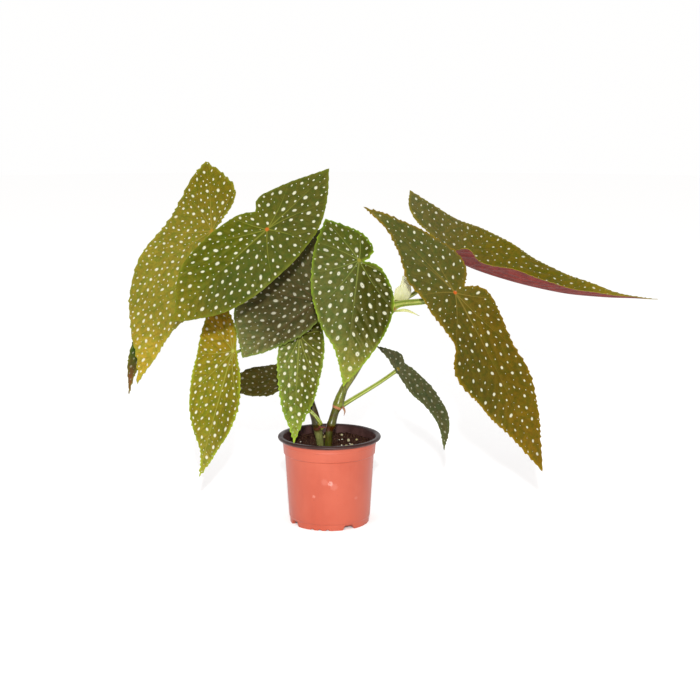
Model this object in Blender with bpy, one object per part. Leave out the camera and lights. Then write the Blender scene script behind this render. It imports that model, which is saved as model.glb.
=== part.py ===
"""A potted cane begonia: nursery pot, soil, two canes, eleven leaves, their stalks and stipules.

The frame: +Z is up, the origin is the centre of the pot's flat underside, and the plant is seen from
its front, which is -Y. Sizes are written in millimetres and turned to metres as meshes are made.
"""

from math import cos, pi, radians, sin

import bmesh
import bpy
import numpy as np
from mathutils import Vector
from mathutils.geometry import delaunay_2d_cdt

MM = 0.001
GAP = 0.3

# The pot: radii and heights of its turned shape
POT_HEIGHT = 103.0
RIM_RADIUS = 60.0
RIM_HEIGHT = 4.0
COLLAR_RADIUS = 54.6
COLLAR_FOOT = 82.0
BODY_TOP_RADIUS = 51.9
BODY_FOOT_RADIUS = 47.3
FOOT_RADIUS = 46.2
FOOT_HEIGHT = 8.0
WALL = 0.9
FLOOR = 1.3
CHANNEL_DEPTH = 3.2
DISC_RADIUS = 22.0
FOOT_SECTORS = 12
NOTCH_EVERY = 3
NOTCH_HEIGHT = 5.4
SCALLOP_HEIGHT = 1.3

# The soil: its middle height, its slope towards the back, and its crumbs
SOIL_HEIGHT = 91.5
SOIL_SLOPE = 0.035
SOIL_BUMP = 1.3
SOIL_SIDES = 40

# The canes and the stalks
CANE_SIDES = 10
CANE_BURIED = 42.0
PETIOLE_SIDES = 7
KNOB_RADIUS = 3.0
NODE_SWELL = 0.16
NODE_REACH = 3.2

# The blades
BLADE = 0.8
TOOTH_PITCH = 12.0
TOOTH_HEIGHT = 2.0
NET_SPACING = 15.0
RIPPLE_REACH = 32.0
SEAT_RADIUS = 3.4
SEAT_REACH = 14.0
FOLD_ROUNDING = 5.0

# Each cane: points along its axis with the radius there, and the heights in the list of its nodes
CANES = {
    "cane_left": {
        "path": [
            (-10.3, -4, 91, 4.3), (-11.7, -5, 101, 4.6), (-12.8, -6, 109, 5.1), (-14.5, -7, 118, 5.3),
            (-17.8, -7, 130, 5.2), (-20.8, -6, 140, 4.8), (-24, -4, 152, 4.4), (-25.5, -2, 165, 4.1),
            (-26, 4, 208, 3.7), (-31, 10, 254, 3.4), (-38, 16, 297, 3.1), (-45, 14, 332, 2.6),
        ],
        "nodes": (118, 165, 208, 254, 297),
    },
    "cane_right": {
        "path": [
            (-1.3, -9, 91, 4.5), (-0.6, -9, 103, 4.2), (0.2, -8.5, 111, 4.2), (2.4, -8, 117, 4.8),
            (4.6, -7, 125, 4.8), (6.9, -6, 132, 4.7), (10.2, -5, 140, 5.5), (12.4, -4, 147, 5.7),
            (15, -3, 153.5, 5.0), (18, -2, 160, 4.6), (29, 1, 176, 4.2), (45, 4, 203, 3.8),
            (61, 4, 232, 3.6), (73, 2, 251, 3.5), (79, 1, 261, 3.0),
        ],
        "nodes": (117, 140, 203, 251),
    },
}

# Each leaf: where its stalk joins, the way its midrib runs, the way its upper face looks, how fast its
# tip and lobe droop (thousandths of a radian a millimetre), how far its halves fold up (degrees), and
# the height and number of its edge waves. The outline is flat, in millimetres from the stalk: first
# along the midrib, then to the side. Its short edge runs from the notch to the tip, its long edge from
# the tip to the lobe, and its lobe edge back to the notch. The stalk's points run from its cane.
LEAVES = {
    "leaf_01": {
        "at": (-136, 30, 338), "runs": (-0.42, -0.24, -0.87), "faces": (-0.45, -0.78, 0.43),
        "droop": (1.5, 1.0), "fold": (4, 4), "wave": (2.5, 5),
        "notch": (-4, 4), "tip": (199, -23), "lobe": (-74, -51),
        "short_edge": [(0, 32), (22, 52), (52, 56), (83, 43), (112, 12), (141, -4), (173, -14)],
        "long_edge": [(169, -34), (143, -56), (111, -71), (75, -77), (38, -72), (3, -62), (-36, -60)],
        "lobe_edge": [(-69, -25), (-58, 0), (-37, 9), (-13, 8)],
        "stalk": ("cane_left", (-38, 16, 297), [(-68, 32, 322), (-106, 40, 341)], 1.9),
    },
    "leaf_02": {
        "at": (-66, -80, 351), "runs": (-0.72, -0.26, -0.65), "faces": (-0.12, -0.86, 0.48),
        "droop": (1.5, 1.0), "fold": (3, 3), "wave": (2.0, 5),
        "notch": (-5, -24), "tip": (146, -7), "lobe": (-97, -4),
        "short_edge": [(15, -36), (47, -42), (84, -41), (112, -28), (132, -10)],
        "long_edge": [(129, 11), (104, 31), (78, 43), (33, 49), (-9, 49), (-45, 38), (-74, 18)],
        "lobe_edge": [(-68, -18), (-40, -30), (-18, -34)],
        "stalk": ("cane_left", (-44, 14, 327), [(-50, -16, 344), (-60, -50, 355)], 1.9),
    },
    "leaf_03": {
        "at": (-12, -34, 266), "runs": (-0.79, -0.14, -0.60), "faces": (-0.13, -0.91, 0.39),
        "droop": (1.5, 1.0), "fold": (3, 3), "wave": (2.5, 4),
        "notch": (-3, 11), "tip": (107, -3), "lobe": (-54, -64),
        "short_edge": [(15, 20), (41, 20), (66, 13), (87, 7)],
        "long_edge": [(96, -28), (83, -52), (56, -68), (22, -76), (-10, -74), (-34, -69)],
        "lobe_edge": [(-54, -37), (-45, -12), (-23, 8)],
        "stalk": ("cane_left", (-31, 10, 254), [(-22, -8, 259)], 1.9),
    },
    "leaf_04": {
        "at": (34, -62, 315), "runs": (-0.12, -0.48, -0.87), "faces": (0.18, -0.87, 0.46),
        "droop": (2.5, 1.5), "fold": (4, 4), "wave": (2.0, 4),
        "notch": (0, 6), "tip": (142, 4), "lobe": (-40, -44),
        "short_edge": [(4, 23), (22, 38), (45, 45), (73, 41), (105, 27)],
        "long_edge": [(119, -5), (101, -15), (80, -33), (51, -46), (22, -51), (-8, -51)],
        "lobe_edge": [(-39, -23), (-33, 1), (-18, 14), (-6, 12)],
        "stalk": ("cane_right", (45, 4, 203), [(50, 0, 232), (48, -14, 268), (41, -38, 300)], 2.0),
    },
    "leaf_05": {
        "at": (142, -35, 275), "runs": (0.41, -0.37, -0.83), "faces": (0.30, -0.80, 0.50),
        "droop": (1.6, 0.8), "fold": (4, 4), "wave": (2.5, 6),
        "notch": (-3, 14), "tip": (223, 22), "lobe": (-131, -55),
        "short_edge": [(4, 30), (22, 40), (70, 41), (115, 45), (156, 40), (197, 31)],
        "long_edge": [(200, 10), (177, -2), (149, -17), (129, -26), (106, -39), (86, -44), (72, -39),
                      (58, -30), (38, -32), (14, -39), (-6, -41), (-29, -51), (-46, -49), (-66, -44), (-100, -44)],
        "lobe_edge": [(-109, -30), (-80, 0), (-49, 24), (-22, 26)],
        "stalk": ("cane_right", (74, -1, 254), [(79, -4, 257), (88, -9, 259.5), (98, -13, 261), (108, -16, 262.5),
                                              (128, -18, 267)], 3.5),
    },
    "leaf_06": {
        "at": (141, 40, 304), "runs": (0.88, 0.10, -0.40), "faces": (0.46, -0.04, 0.88),
        "droop": (-1.8, 0.0), "fold": (35, 34), "wave": (1.5, 6),
        "notch": (-9, 4), "tip": (257, 0), "lobe": (-66, 85),
        "short_edge": [(-5, -28), (1, -46), (9, -48), (17, -41), (26, -33), (40, -32), (73, -36), (110, -30),
                       (149, -25), (188, -15), (222, -7)],
        "long_edge": [(220, 8), (196, 16), (159, 31), (119, 47), (80, 63), (41, 74), (1, 75), (-34, 78)],
        "lobe_edge": [(-63, 60), (-50, 43), (-32, 31), (-17, 18)],
        "stalk": ("cane_right", (78, 4, 259), [(88, 11, 262), (101, 20, 268), (122, 31, 284)], 2.4),
    },
    "leaf_07": {
        "at": (-111, 0, 202), "runs": (-0.24, -0.35, -0.90), "faces": (-0.35, -0.84, 0.42),
        "droop": (1.5, 1.0), "fold": (4, 4), "wave": (2.0, 5),
        "notch": (-2, 4), "tip": (150, -9), "lobe": (-61, -34),
        "short_edge": [(20, 15), (52, 23), (85, 23), (114, 10)],
        "long_edge": [(119, -13), (90, -32), (61, -40), (20, -43), (-17, -46), (-43, -43)],
        "lobe_edge": [(-45, -18), (-22, -2)],
        "stalk": ("cane_left", (-26, 4, 208), [(-57, 8, 208), (-88, 13, 206)], 1.8),
    },
    "leaf_08": {
        "at": (-33, -27, 225), "runs": (-0.05, -0.27, -0.95), "faces": (0.05, -0.95, 0.28),
        "droop": (1.5, 1.0), "fold": (5, 5), "wave": (2.0, 5),
        "notch": (-2, -9), "tip": (123, 0), "lobe": (-27, 15),
        "short_edge": [(7, -21), (27, -24), (54, -22), (83, -16), (106, -6)],
        "long_edge": [(99, 9), (74, 20), (46, 26), (15, 29), (-10, 25)],
        "lobe_edge": [(-20, 3), (-10, -5)],
        "stalk": ("cane_left", (-26, 4, 208), [(-29, -8, 219)], 1.7),
    },
    "leaf_09": {
        "at": (-55, 52, 154), "runs": (-0.99, 0.09, -0.12), "faces": (-0.15, -0.62, 0.77),
        "droop": (2.5, 1.0), "fold": (5, 5), "wave": (2.5, 4),
        "notch": (-4, 8), "tip": (87, -5), "lobe": (-33, -11),
        "short_edge": [(14, 18), (35, 14), (60, 6)],
        "long_edge": [(72, -16), (51, -24), (27, -30), (3, -28), (-17, -22)],
        "lobe_edge": [(-22, 0), (-11, 6)],
        "stalk": ("cane_left", (-12, -10, 118), [(-10, -14, 120), (-13, -16, 125), (-17, -16, 130), (-24, -12, 136),
                                             (-38, 18, 144)], 1.9),
    },
    "leaf_10": {
        "at": (80, 18, 177), "runs": (0.50, -0.29, -0.82), "faces": (0.45, -0.72, 0.53),
        "droop": (1.5, 1.0), "fold": (5, 5), "wave": (1.5, 4),
        "notch": (-3, 12), "tip": (109, 6), "lobe": (-36, -9),
        "short_edge": [(12, 20), (37, 30), (64, 32), (87, 25)],
        "long_edge": [(78, 12), (51, 7), (27, -1), (4, -4), (-17, -6)],
        "lobe_edge": [(-26, 5), (-15, 15)],
        "stalk": ("cane_right", (11, -4, 137), [(18, -1, 140), (29, 3, 146), (44, 9, 154), (60, 15, 163)], 2.4),
    },
    "leaf_11": {
        "at": (-189, 75, 240), "runs": (-0.44, -0.23, -0.87), "faces": (-0.45, -0.78, 0.43),
        "droop": (1.5, 1.0), "fold": (4, 4), "wave": (1.5, 4),
        "notch": (-4, 4), "tip": (116, -8), "lobe": (-46, -22),
        "short_edge": [(8, 14), (36, 10), (66, -2), (91, -9)],
        "long_edge": [(93, -21), (69, -29), (35, -32), (5, -35), (-21, -32)],
        "lobe_edge": [(-33, -4), (-16, 4)],
        "stalk": ("cane_left", (-31, 10, 254), [(-75, 44, 276), (-140, 80, 272)], 1.7),
    },
}

# Each stipule: the cane it stands on, its points from the cane's axis outwards, its width and thickness
STIPULES = {
    "stipule_1": ("cane_right", [(77.5, 1, 255), (80, 1, 259), (84.5, 0, 268), (87, -2, 277), (86, -4, 285),
                                 (84.5, -5, 290)], 24.0, 0.9),
    "stipule_2": ("cane_right", [(73.5, 1, 248), (81.5, -5, 250), (86.5, -6, 250.5), (93, -7, 249), (103.5, -7, 244)],
                  4.0, 0.8),
    "stipule_3": ("cane_right", [(10, -5, 138), (14.5, -8.5, 138), (16.5, -11, 137), (18, -12, 133),
                                 (17, -12, 128)], 3.4, 0.8),
    "stipule_4": ("cane_left", [(-14.4, -7, 114.5), (-12, -13.5, 115), (-8, -16.5, 115.5), (-3, -18, 115.5)],
                  3.6, 0.8),
}

COLOURS = {
    "pot": ((0.71, 0.16, 0.10), 0.45),
    "soil": ((0.018, 0.009, 0.007), 0.95),
    "cane_left": ((0.10, 0.08, 0.03), 0.45),
    "cane_right": ((0.09, 0.14, 0.03), 0.45),
    "leaf": ((0.06, 0.10, 0.015), 0.40),
    "petiole": ((0.30, 0.42, 0.06), 0.45),
    "stipule": ((0.80, 0.78, 0.52), 0.60),
}


def clear_scene():
    for old in list(bpy.data.objects):
        bpy.data.objects.remove(old)


def material(name, colour, roughness):
    made = bpy.data.materials.new(name)
    made.use_nodes = True
    surface = made.node_tree.nodes["Principled BSDF"]
    surface.inputs["Base Color"].default_value = (*colour, 1.0)
    surface.inputs["Roughness"].default_value = roughness
    surface.inputs["Metallic"].default_value = 0.0
    return made


def mesh_object(name, points, faces, colour_name):
    """A named object from points in millimetres, with its faces turned outwards."""
    mesh = bpy.data.meshes.new(name)
    mesh.from_pydata([tuple(float(v) * MM for v in p) for p in points], [], faces)
    work = bmesh.new()
    work.from_mesh(mesh)
    bmesh.ops.recalc_face_normals(work, faces=work.faces)
    work.to_mesh(mesh)
    work.free()
    mesh.shade_smooth()
    mesh.set_sharp_from_angle(angle=radians(40))
    made = bpy.data.objects.new(name, mesh)
    bpy.context.scene.collection.objects.link(made)
    made.data.materials.append(material(name, *COLOURS[colour_name]))
    return made


def cut(target, cutter):
    """Takes the cutter's shape out of the target, and keeps the result as a plain mesh."""
    step = target.modifiers.new("cut", "BOOLEAN")
    step.operation = "DIFFERENCE"
    step.object = cutter
    bpy.context.view_layer.update()
    graph = bpy.context.evaluated_depsgraph_get()
    result = bpy.data.meshes.new_from_object(target.evaluated_get(graph))
    target.modifiers.clear()
    target.data = result


# Curves

def smooth_curve(points, count):
    """Points evenly spaced along a smooth curve through the given points, both ends included."""
    knots = np.array(points, float)
    if len(knots) == 2:
        steps = np.linspace(0, 1, count)[:, None]
        return knots[0] * (1 - steps) + knots[1] * steps
    ends = np.vstack([2 * knots[0] - knots[1], knots, 2 * knots[-1] - knots[-2]])
    dense = []
    for p0, p1, p2, p3 in zip(ends, ends[1:], ends[2:], ends[3:]):
        for u in np.linspace(0, 1, 24, endpoint=False):
            tangent_in = (p2 - p0) / 2
            tangent_out = (p3 - p1) / 2
            dense.append(
                (2 * u**3 - 3 * u**2 + 1) * p1 + (u**3 - 2 * u**2 + u) * tangent_in
                + (3 * u**2 - 2 * u**3) * p2 + (u**3 - u**2) * tangent_out
            )
    dense = np.array(dense + [knots[-1]])
    reach = np.concatenate([[0], np.cumsum(np.linalg.norm(np.diff(dense[:, :3], axis=0), axis=1))])
    wanted = np.linspace(0, reach[-1], count)
    return np.column_stack([np.interp(wanted, reach, dense[:, i]) for i in range(dense.shape[1])])


def curve_length(points):
    dense = smooth_curve(points, 60)
    return float(np.linalg.norm(np.diff(dense, axis=0), axis=1).sum())


def unit(vector):
    vector = np.array(vector, float)
    return vector / np.linalg.norm(vector)


# The pot and the soil

def foot_angles():
    """Angles round the pot, closer together where the foot is notched or scalloped."""
    step = 360 / FOOT_SECTORS
    angles = []
    for sector in range(FOOT_SECTORS):
        middle = -60 + sector * step
        if sector % NOTCH_EVERY == 0:
            spots = (-15.0, -9.7, -6.6, 6.6, 9.7)
        else:
            spots = (-15.0, -5.0, 0.0, 5.0)
        angles += [(middle + spot, sector, spot) for spot in spots]
    return angles


def foot_lift(sector, spot):
    """How high the foot's lower edge stands at this place."""
    if sector % NOTCH_EVERY == 0:
        return NOTCH_HEIGHT if abs(spot) < 7 else 0.0
    return SCALLOP_HEIGHT if spot == 0 else 0.0


def pot_profile():
    """Radius, height and whether the foot's notches lift the ring, from the underside's middle,
    up the outside and down the inside to the floor's middle."""
    lip = POT_HEIGHT - RIM_HEIGHT
    outside = [
        (DISC_RADIUS, 0, False), (DISC_RADIUS + 2, CHANNEL_DEPTH, False), (29.5, CHANNEL_DEPTH, False),
        (35.5, CHANNEL_DEPTH, False), (39.9, CHANNEL_DEPTH, False), (42.6, 0, True),
        (FOOT_RADIUS, 0, True), (FOOT_RADIUS + 0.3, FOOT_HEIGHT - 1, False),
        (BODY_FOOT_RADIUS, FOOT_HEIGHT, False), (BODY_TOP_RADIUS, COLLAR_FOOT - 0.5, False),
        (COLLAR_RADIUS - 1.2, COLLAR_FOOT + 0.5, False), (COLLAR_RADIUS, lip, False),
        (RIM_RADIUS - 0.8, lip, False), (RIM_RADIUS, lip + 1, False),
        (RIM_RADIUS, POT_HEIGHT - 1, False), (RIM_RADIUS - 1, POT_HEIGHT, False),
    ]
    inside = [
        (COLLAR_RADIUS + 0.3, POT_HEIGHT, False), (COLLAR_RADIUS - WALL, POT_HEIGHT - 1, False),
        (COLLAR_RADIUS - 1.2 - WALL, COLLAR_FOOT + 1.4, False),
        (BODY_TOP_RADIUS - WALL, COLLAR_FOOT + 0.5, False),
        (BODY_FOOT_RADIUS - WALL, FOOT_HEIGHT + 0.6, False),
        (FOOT_RADIUS - WALL, FOOT_HEIGHT - 0.4, False), (FOOT_RADIUS - WALL, FLOOR, True),
        (43.4, FLOOR, True), (40.6, CHANNEL_DEPTH + FLOOR, False), (35.5, CHANNEL_DEPTH + FLOOR, False),
        (29.5, CHANNEL_DEPTH + FLOOR, False), (DISC_RADIUS + 1.5, CHANNEL_DEPTH + FLOOR, False),
        (DISC_RADIUS - 0.6, FLOOR, False),
    ]
    return outside, inside


def make_pot():
    outside, inside = pot_profile()
    rings = outside + inside
    angles = foot_angles()
    around = len(angles)
    points = [(0, 0, 0)]
    for radius, height, lifted in rings:
        for angle, sector, spot in angles:
            turn = radians(angle - 90)
            rise = foot_lift(sector, spot) if lifted else 0.0
            points.append((radius * cos(turn), radius * sin(turn), height + rise))
    points.append((0, 0, FLOOR))
    top = len(points) - 1

    def corner(ring, step):
        return 1 + ring * around + step % around

    slot_outside = (2, 3)
    slot_inside = (len(rings) - 4, len(rings) - 3)
    faces = []
    for step in range(around):
        slotted = angles[step][1] % NOTCH_EVERY == 0 and -9.7 <= angles[step][2] < 9.7
        faces.append((0, corner(0, step + 1), corner(0, step)))
        faces.append((top, corner(len(rings) - 1, step), corner(len(rings) - 1, step + 1)))
        for ring in range(len(rings) - 1):
            if slotted and (ring, ring + 1) in (slot_outside, slot_inside):
                continue
            faces.append((corner(ring, step), corner(ring, step + 1),
                          corner(ring + 1, step + 1), corner(ring + 1, step)))
        if slotted:
            for low, high in ((2, slot_inside[1]), (3, slot_inside[0])):
                faces.append((corner(low, step), corner(low, step + 1),
                              corner(high, step + 1), corner(high, step)))
            for here, edge in ((step, -9.7), (step + 1, 6.6)):
                if angles[step][2] == edge:
                    faces.append((corner(2, here), corner(3, here),
                                  corner(slot_inside[0], here), corner(slot_inside[1], here)))
    return mesh_object("pot", points, faces, "pot")


def soil_surface(x, y):
    """Height of the soil at a place: a slope towards the back, with crumbs and hollows."""
    crumbs = sin(0.31 * x + 1.3) * cos(0.27 * y + 0.4) + 0.6 * sin(0.71 * x - 0.53 * y)
    return SOIL_HEIGHT + SOIL_SLOPE * y + SOIL_BUMP * 0.6 * crumbs


def make_soil():
    facet = cos(radians(6.0))
    wall = WALL + GAP
    floor = FLOOR + GAP
    side = [
        (DISC_RADIUS - 1.0, floor), (DISC_RADIUS + 1.0, CHANNEL_DEPTH + floor + 0.1),
        (39.8, CHANNEL_DEPTH + floor + 0.1), (41.4, NOTCH_HEIGHT + floor + 0.2),
        (FOOT_RADIUS - wall, NOTCH_HEIGHT + floor + 0.2), (FOOT_RADIUS - wall, FOOT_HEIGHT),
        (BODY_FOOT_RADIUS - wall, FOOT_HEIGHT + 1.0), (BODY_TOP_RADIUS - wall, COLLAR_FOOT + 0.8),
        (COLLAR_RADIUS - 1.3 - wall, COLLAR_FOOT + 1.9),
    ]
    points = [(0, 0, floor)]
    for radius, height in side:
        for step in range(SOIL_SIDES):
            turn = 2 * pi * step / SOIL_SIDES
            points.append((radius * facet * cos(turn), radius * facet * sin(turn), height))
    for radius in (52.3, 45, 37, 29, 21, 13, 6):
        for step in range(SOIL_SIDES):
            turn = 2 * pi * step / SOIL_SIDES
            x = radius * facet * cos(turn)
            y = radius * facet * sin(turn)
            points.append((x, y, soil_surface(x, y)))
    points.append((0, 0, soil_surface(0, 0)))
    rings = (len(points) - 2) // SOIL_SIDES
    faces = []
    for step in range(SOIL_SIDES):
        after = (step + 1) % SOIL_SIDES
        faces.append((0, 1 + after, 1 + step))
        last = 1 + (rings - 1) * SOIL_SIDES
        faces.append((len(points) - 1, last + step, last + after))
        for ring in range(rings - 1):
            low = 1 + ring * SOIL_SIDES
            high = low + SOIL_SIDES
            faces.append((low + step, low + after, high + after, high + step))
    return mesh_object("soil", points, faces, "soil")


# Canes, stalks and stipules

def tube(path, radii, sides, end_face=None):
    """Points and faces of a closed tube along a path; end_face turns the last ring to a plane."""
    path = np.array(path, float)
    tangents = np.gradient(path, axis=0)
    side = np.cross(unit(tangents[0]), (0.3, 0.9, 0.2))
    points = []
    for index, (place, tangent, radius) in enumerate(zip(path, tangents, radii)):
        tangent = unit(tangent)
        side = unit(side - tangent * (side @ tangent))
        up = np.cross(tangent, side)
        for step in range(sides):
            turn = 2 * pi * step / sides
            spoke = radius * (cos(turn) * side + sin(turn) * up)
            if end_face is not None and index == len(path) - 1:
                spoke = spoke - tangent * (spoke @ end_face) / (tangent @ end_face)
            points.append(place + spoke)
    faces = []
    for ring in range(len(path) - 1):
        for step in range(sides):
            after = (step + 1) % sides
            low = ring * sides
            faces.append((low + step, low + after, low + sides + after, low + sides + step))
    faces.append(tuple(range(sides))[::-1])
    faces.append(tuple(range((len(path) - 1) * sides, len(path) * sides)))
    return points, faces


def cane_line(name, rings):
    """Axis points of a cane and the radius at each, swollen a little at its nodes."""
    line = smooth_curve(CANES[name]["path"], rings)
    heights = line[:, 2]
    swell = np.zeros(len(line))
    for node in CANES[name]["nodes"]:
        swell = np.maximum(swell, np.exp(-((heights - node) / NODE_REACH) ** 2))
    return line[:, :3], line[:, 3] * (1 + NODE_SWELL * swell)


def cane_shape(name, grow):
    """A cane as a tube, grown by some millimetres; the buried end is a straight round peg."""
    line, radii = cane_line(name, 28)
    foot = (line[0][0], line[0][1], CANE_BURIED - grow)
    top = line[-1] + unit(line[-1] - line[-2]) * grow
    path = np.vstack([foot, line[:-1], top])
    sizes = np.concatenate([[radii[0]], radii]) + grow
    return tube(path, sizes, CANE_SIDES)


def make_cane(name):
    points, faces = cane_shape(name, 0.0)
    return mesh_object(name, points, faces, name)


def cane_cutter(name):
    points, faces = cane_shape(name, GAP)
    cutter = mesh_object(name + "_clear", points, faces, name)
    cutter.hide_render = True
    cutter.display_type = "WIRE"
    return cutter


def make_petiole(name, leaf, cutters):
    cane, start, middle, radius = leaf["stalk"]
    away = -leaf_axes(leaf)[2]
    seat = np.array(leaf["at"], float) + away * (BLADE / 2 + GAP)
    points = [start, *middle, tuple(seat + away * 7), tuple(seat)]
    rings = 13
    path = smooth_curve(points, rings)
    along = np.linspace(0, 1, rings)
    knob = np.exp(-((along - 1.0) / 0.10) ** 2)
    sizes = radius * (1.12 - 0.24 * along) + (KNOB_RADIUS - radius) * knob
    shape = tube(path, sizes, PETIOLE_SIDES, end_face=away)
    made = mesh_object(name, *shape, "petiole")
    cut(made, cutters[cane])
    return made


def make_stipule(name, cutters):
    """A thin pointed scale: a flat strip that narrows to its end."""
    cane, points, width, thickness = STIPULES[name]
    rings = 7
    path = smooth_curve(points, rings)
    tangents = np.gradient(path, axis=0)
    front = np.array((0.25, -0.95, 0.1))
    corners = []
    for index, (place, tangent) in enumerate(zip(path, tangents)):
        tangent = unit(tangent)
        out = unit(front - tangent * (front @ tangent))
        side = np.cross(tangent, out)
        part = index / (rings - 1)
        half = width / 2 * max(0.08, (1 - part**2.2) * min(1.0, 0.4 + 1.3 * part))
        deep = thickness / 2
        cupped = out * half * 0.25
        corners += [place - side * half - cupped + out * deep, place + out * deep,
                    place + side * half - cupped + out * deep, place + side * half - cupped - out * deep,
                    place - out * deep, place - side * half - cupped - out * deep]
    faces = []
    for ring in range(rings - 1):
        for step in range(6):
            after = (step + 1) % 6
            low = ring * 6
            faces.append((low + step, low + after, low + 6 + after, low + 6 + step))
    last = (rings - 1) * 6
    faces += [(5, 4, 1, 0), (4, 3, 2, 1)]
    faces += [(last, last + 1, last + 4, last + 5), (last + 1, last + 2, last + 3, last + 4)]
    made = mesh_object(name, corners, faces, "stipule")
    cut(made, cutters[cane])
    return made


# Leaf blades

def leaf_axes(leaf):
    along = unit(leaf["runs"])
    up = np.array(leaf["faces"], float)
    up = unit(up - along * (up @ along))
    return along, np.cross(up, along), up


def bend(leaf, a, b):
    """Places flat points (a along the midrib, b beside it) on the drooping, folded blade."""
    along, beside, up = leaf_axes(leaf)
    tip_droop, lobe_droop = leaf["droop"]
    turn = np.where(a > 0, tip_droop, lobe_droop) / 1000 + 1e-9
    angle = turn * a
    out = np.sin(angle) / turn
    drop = (1 - np.cos(angle)) / turn
    here_up = up * np.cos(angle)[:, None] + along * np.sin(angle)[:, None]
    spine = np.array(leaf["at"], float) + along * out[:, None] - up * drop[:, None]
    left_fold, right_fold = leaf["fold"]
    fold = np.radians(np.where(b > 0, left_fold, right_fold))
    rise = (np.sqrt(b * b + FOLD_ROUNDING**2) - FOLD_ROUNDING) * np.sin(fold)
    return spine + beside * (b * np.cos(fold))[:, None] + here_up * rise[:, None]


def leaf_outline(leaf):
    """The flat outline as points with their tooth height: two points a tooth, corners kept."""
    corners = leaf["notch"], leaf["tip"], leaf["lobe"], leaf["notch"]
    edges = leaf["short_edge"], leaf["long_edge"], leaf["lobe_edge"]
    outline = []
    for start, edge, end in zip(corners, edges, corners[1:]):
        points = [start, *edge, end]
        teeth = 2 * max(1, round(curve_length(points) / (2 * TOOTH_PITCH)))
        curve = smooth_curve(points, 2 * teeth + 1)
        heading = np.gradient(curve, axis=0)
        for index in range(2 * teeth):
            outward = unit((-heading[index][1], heading[index][0]))
            tooth = TOOTH_HEIGHT * (0.75 + 0.25 * sin(1.7 * index)) * (0.5 if index % 2 else -0.5)
            if index == 0:
                tooth = 0.0
            outline.append((curve[index], outward * tooth))
    flat = np.array([place for place, _ in outline])
    teeth = np.array([offset for _, offset in outline])
    if signed_area(flat) > 0:
        teeth = -teeth
    return flat, teeth


def signed_area(flat):
    x, y = flat[:, 0], flat[:, 1]
    return 0.5 * float(np.sum(x * np.roll(y, -1) - y * np.roll(x, -1)))


def blade_net(outline, spacing):
    """Splits a flat outline into even triangles: the points, outline first, and the triangles.

    A small hexagon round the stalk's seat keeps the blade flat where the stalk meets it."""
    low = outline.min(axis=0)
    high = outline.max(axis=0)
    rows = int((high[1] - low[1]) / (spacing * 0.87)) + 1
    columns = int((high[0] - low[0]) / spacing) + 2
    grid = [(low[0] + (column + 0.5 * (row % 2)) * spacing, low[1] + (row + 0.5) * spacing * 0.87)
            for row in range(rows) for column in range(columns)]
    grid = np.array(grid)
    grid = grid[inside(outline, grid) & (distance_to(outline, grid) > 0.55 * spacing)]
    grid = grid[np.linalg.norm(grid, axis=1) > SEAT_RADIUS + 0.4 * spacing]
    turns = np.arange(6) * pi / 3
    seat = np.vstack([(0, 0), np.column_stack([np.cos(turns), np.sin(turns)]) * SEAT_RADIUS])
    seat = seat[inside(outline, seat) & (distance_to(outline, seat) > 0.5 * SEAT_RADIUS)]
    points = np.vstack([outline, seat, grid])
    loop = [(step, (step + 1) % len(outline)) for step in range(len(outline))]
    found = delaunay_2d_cdt([Vector(p) for p in points.tolist()], loop, [], 1, 1e-5)
    return points, np.array(found[2])


def distance_to(outline, points):
    return np.linalg.norm(points[:, None] - outline[None], axis=2).min(axis=1)


def inside(outline, points):
    """Which points lie inside the closed outline, by counting the edges crossed on the way out."""
    x, y = points[:, 0][:, None], points[:, 1][:, None]
    start = outline
    end = np.roll(outline, -1, axis=0)
    spans = (start[:, 1] > y) != (end[:, 1] > y)
    rise = end[:, 1] - start[:, 1]
    rise = np.where(np.abs(rise) < 1e-9, 1e-9, rise)
    crossing = start[:, 0] + (y - start[:, 1]) * (end[:, 0] - start[:, 0]) / rise
    return (spans & (x < crossing)).sum(axis=1) % 2 == 1


def make_leaf(name, leaf):
    """A blade of even thickness, with its two faces split into triangles alike."""
    flat, teeth = leaf_outline(leaf)
    outer = len(flat)
    height, waves = leaf["wave"]
    share = 2 * pi * waves * np.arange(outer) / outer
    ripple = height * np.sin(share + 0.9) + 0.4 * height * np.sin(2.3 * share)
    places, triangles = blade_net(flat + teeth, NET_SPACING)
    distances = np.linalg.norm(places[:, None] - flat[None], axis=2)
    near = distances.argmin(axis=1)
    settled = 1 - np.exp(-(np.linalg.norm(places, axis=1) / SEAT_REACH) ** 2)
    lifts = ripple[near] * np.exp(-distances.min(axis=1) * 2 / RIPPLE_REACH) * settled

    middle = bend(leaf, places[:, 0], places[:, 1])
    normals = point_normals(middle, triangles)
    middle = middle + normals * lifts[:, None]
    normals = point_normals(middle, triangles)
    upper = middle + normals * BLADE / 2
    lower = middle - normals * BLADE / 2
    count = len(middle)
    faces = [tuple(t) for t in triangles.tolist()]
    faces += [(t[0] + count, t[2] + count, t[1] + count) for t in triangles.tolist()]
    for here in range(outer):
        after = (here + 1) % outer
        faces.append((here, here + count, after + count, after))
    return mesh_object(name, np.vstack([upper, lower]), faces, "leaf")


def point_normals(points, triangles):
    corners = points[triangles]
    across = np.cross(corners[:, 1] - corners[:, 0], corners[:, 2] - corners[:, 0])
    normals = np.zeros_like(points)
    for corner in range(3):
        np.add.at(normals, triangles[:, corner], across)
    return normals / np.linalg.norm(normals, axis=1)[:, None]


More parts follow.
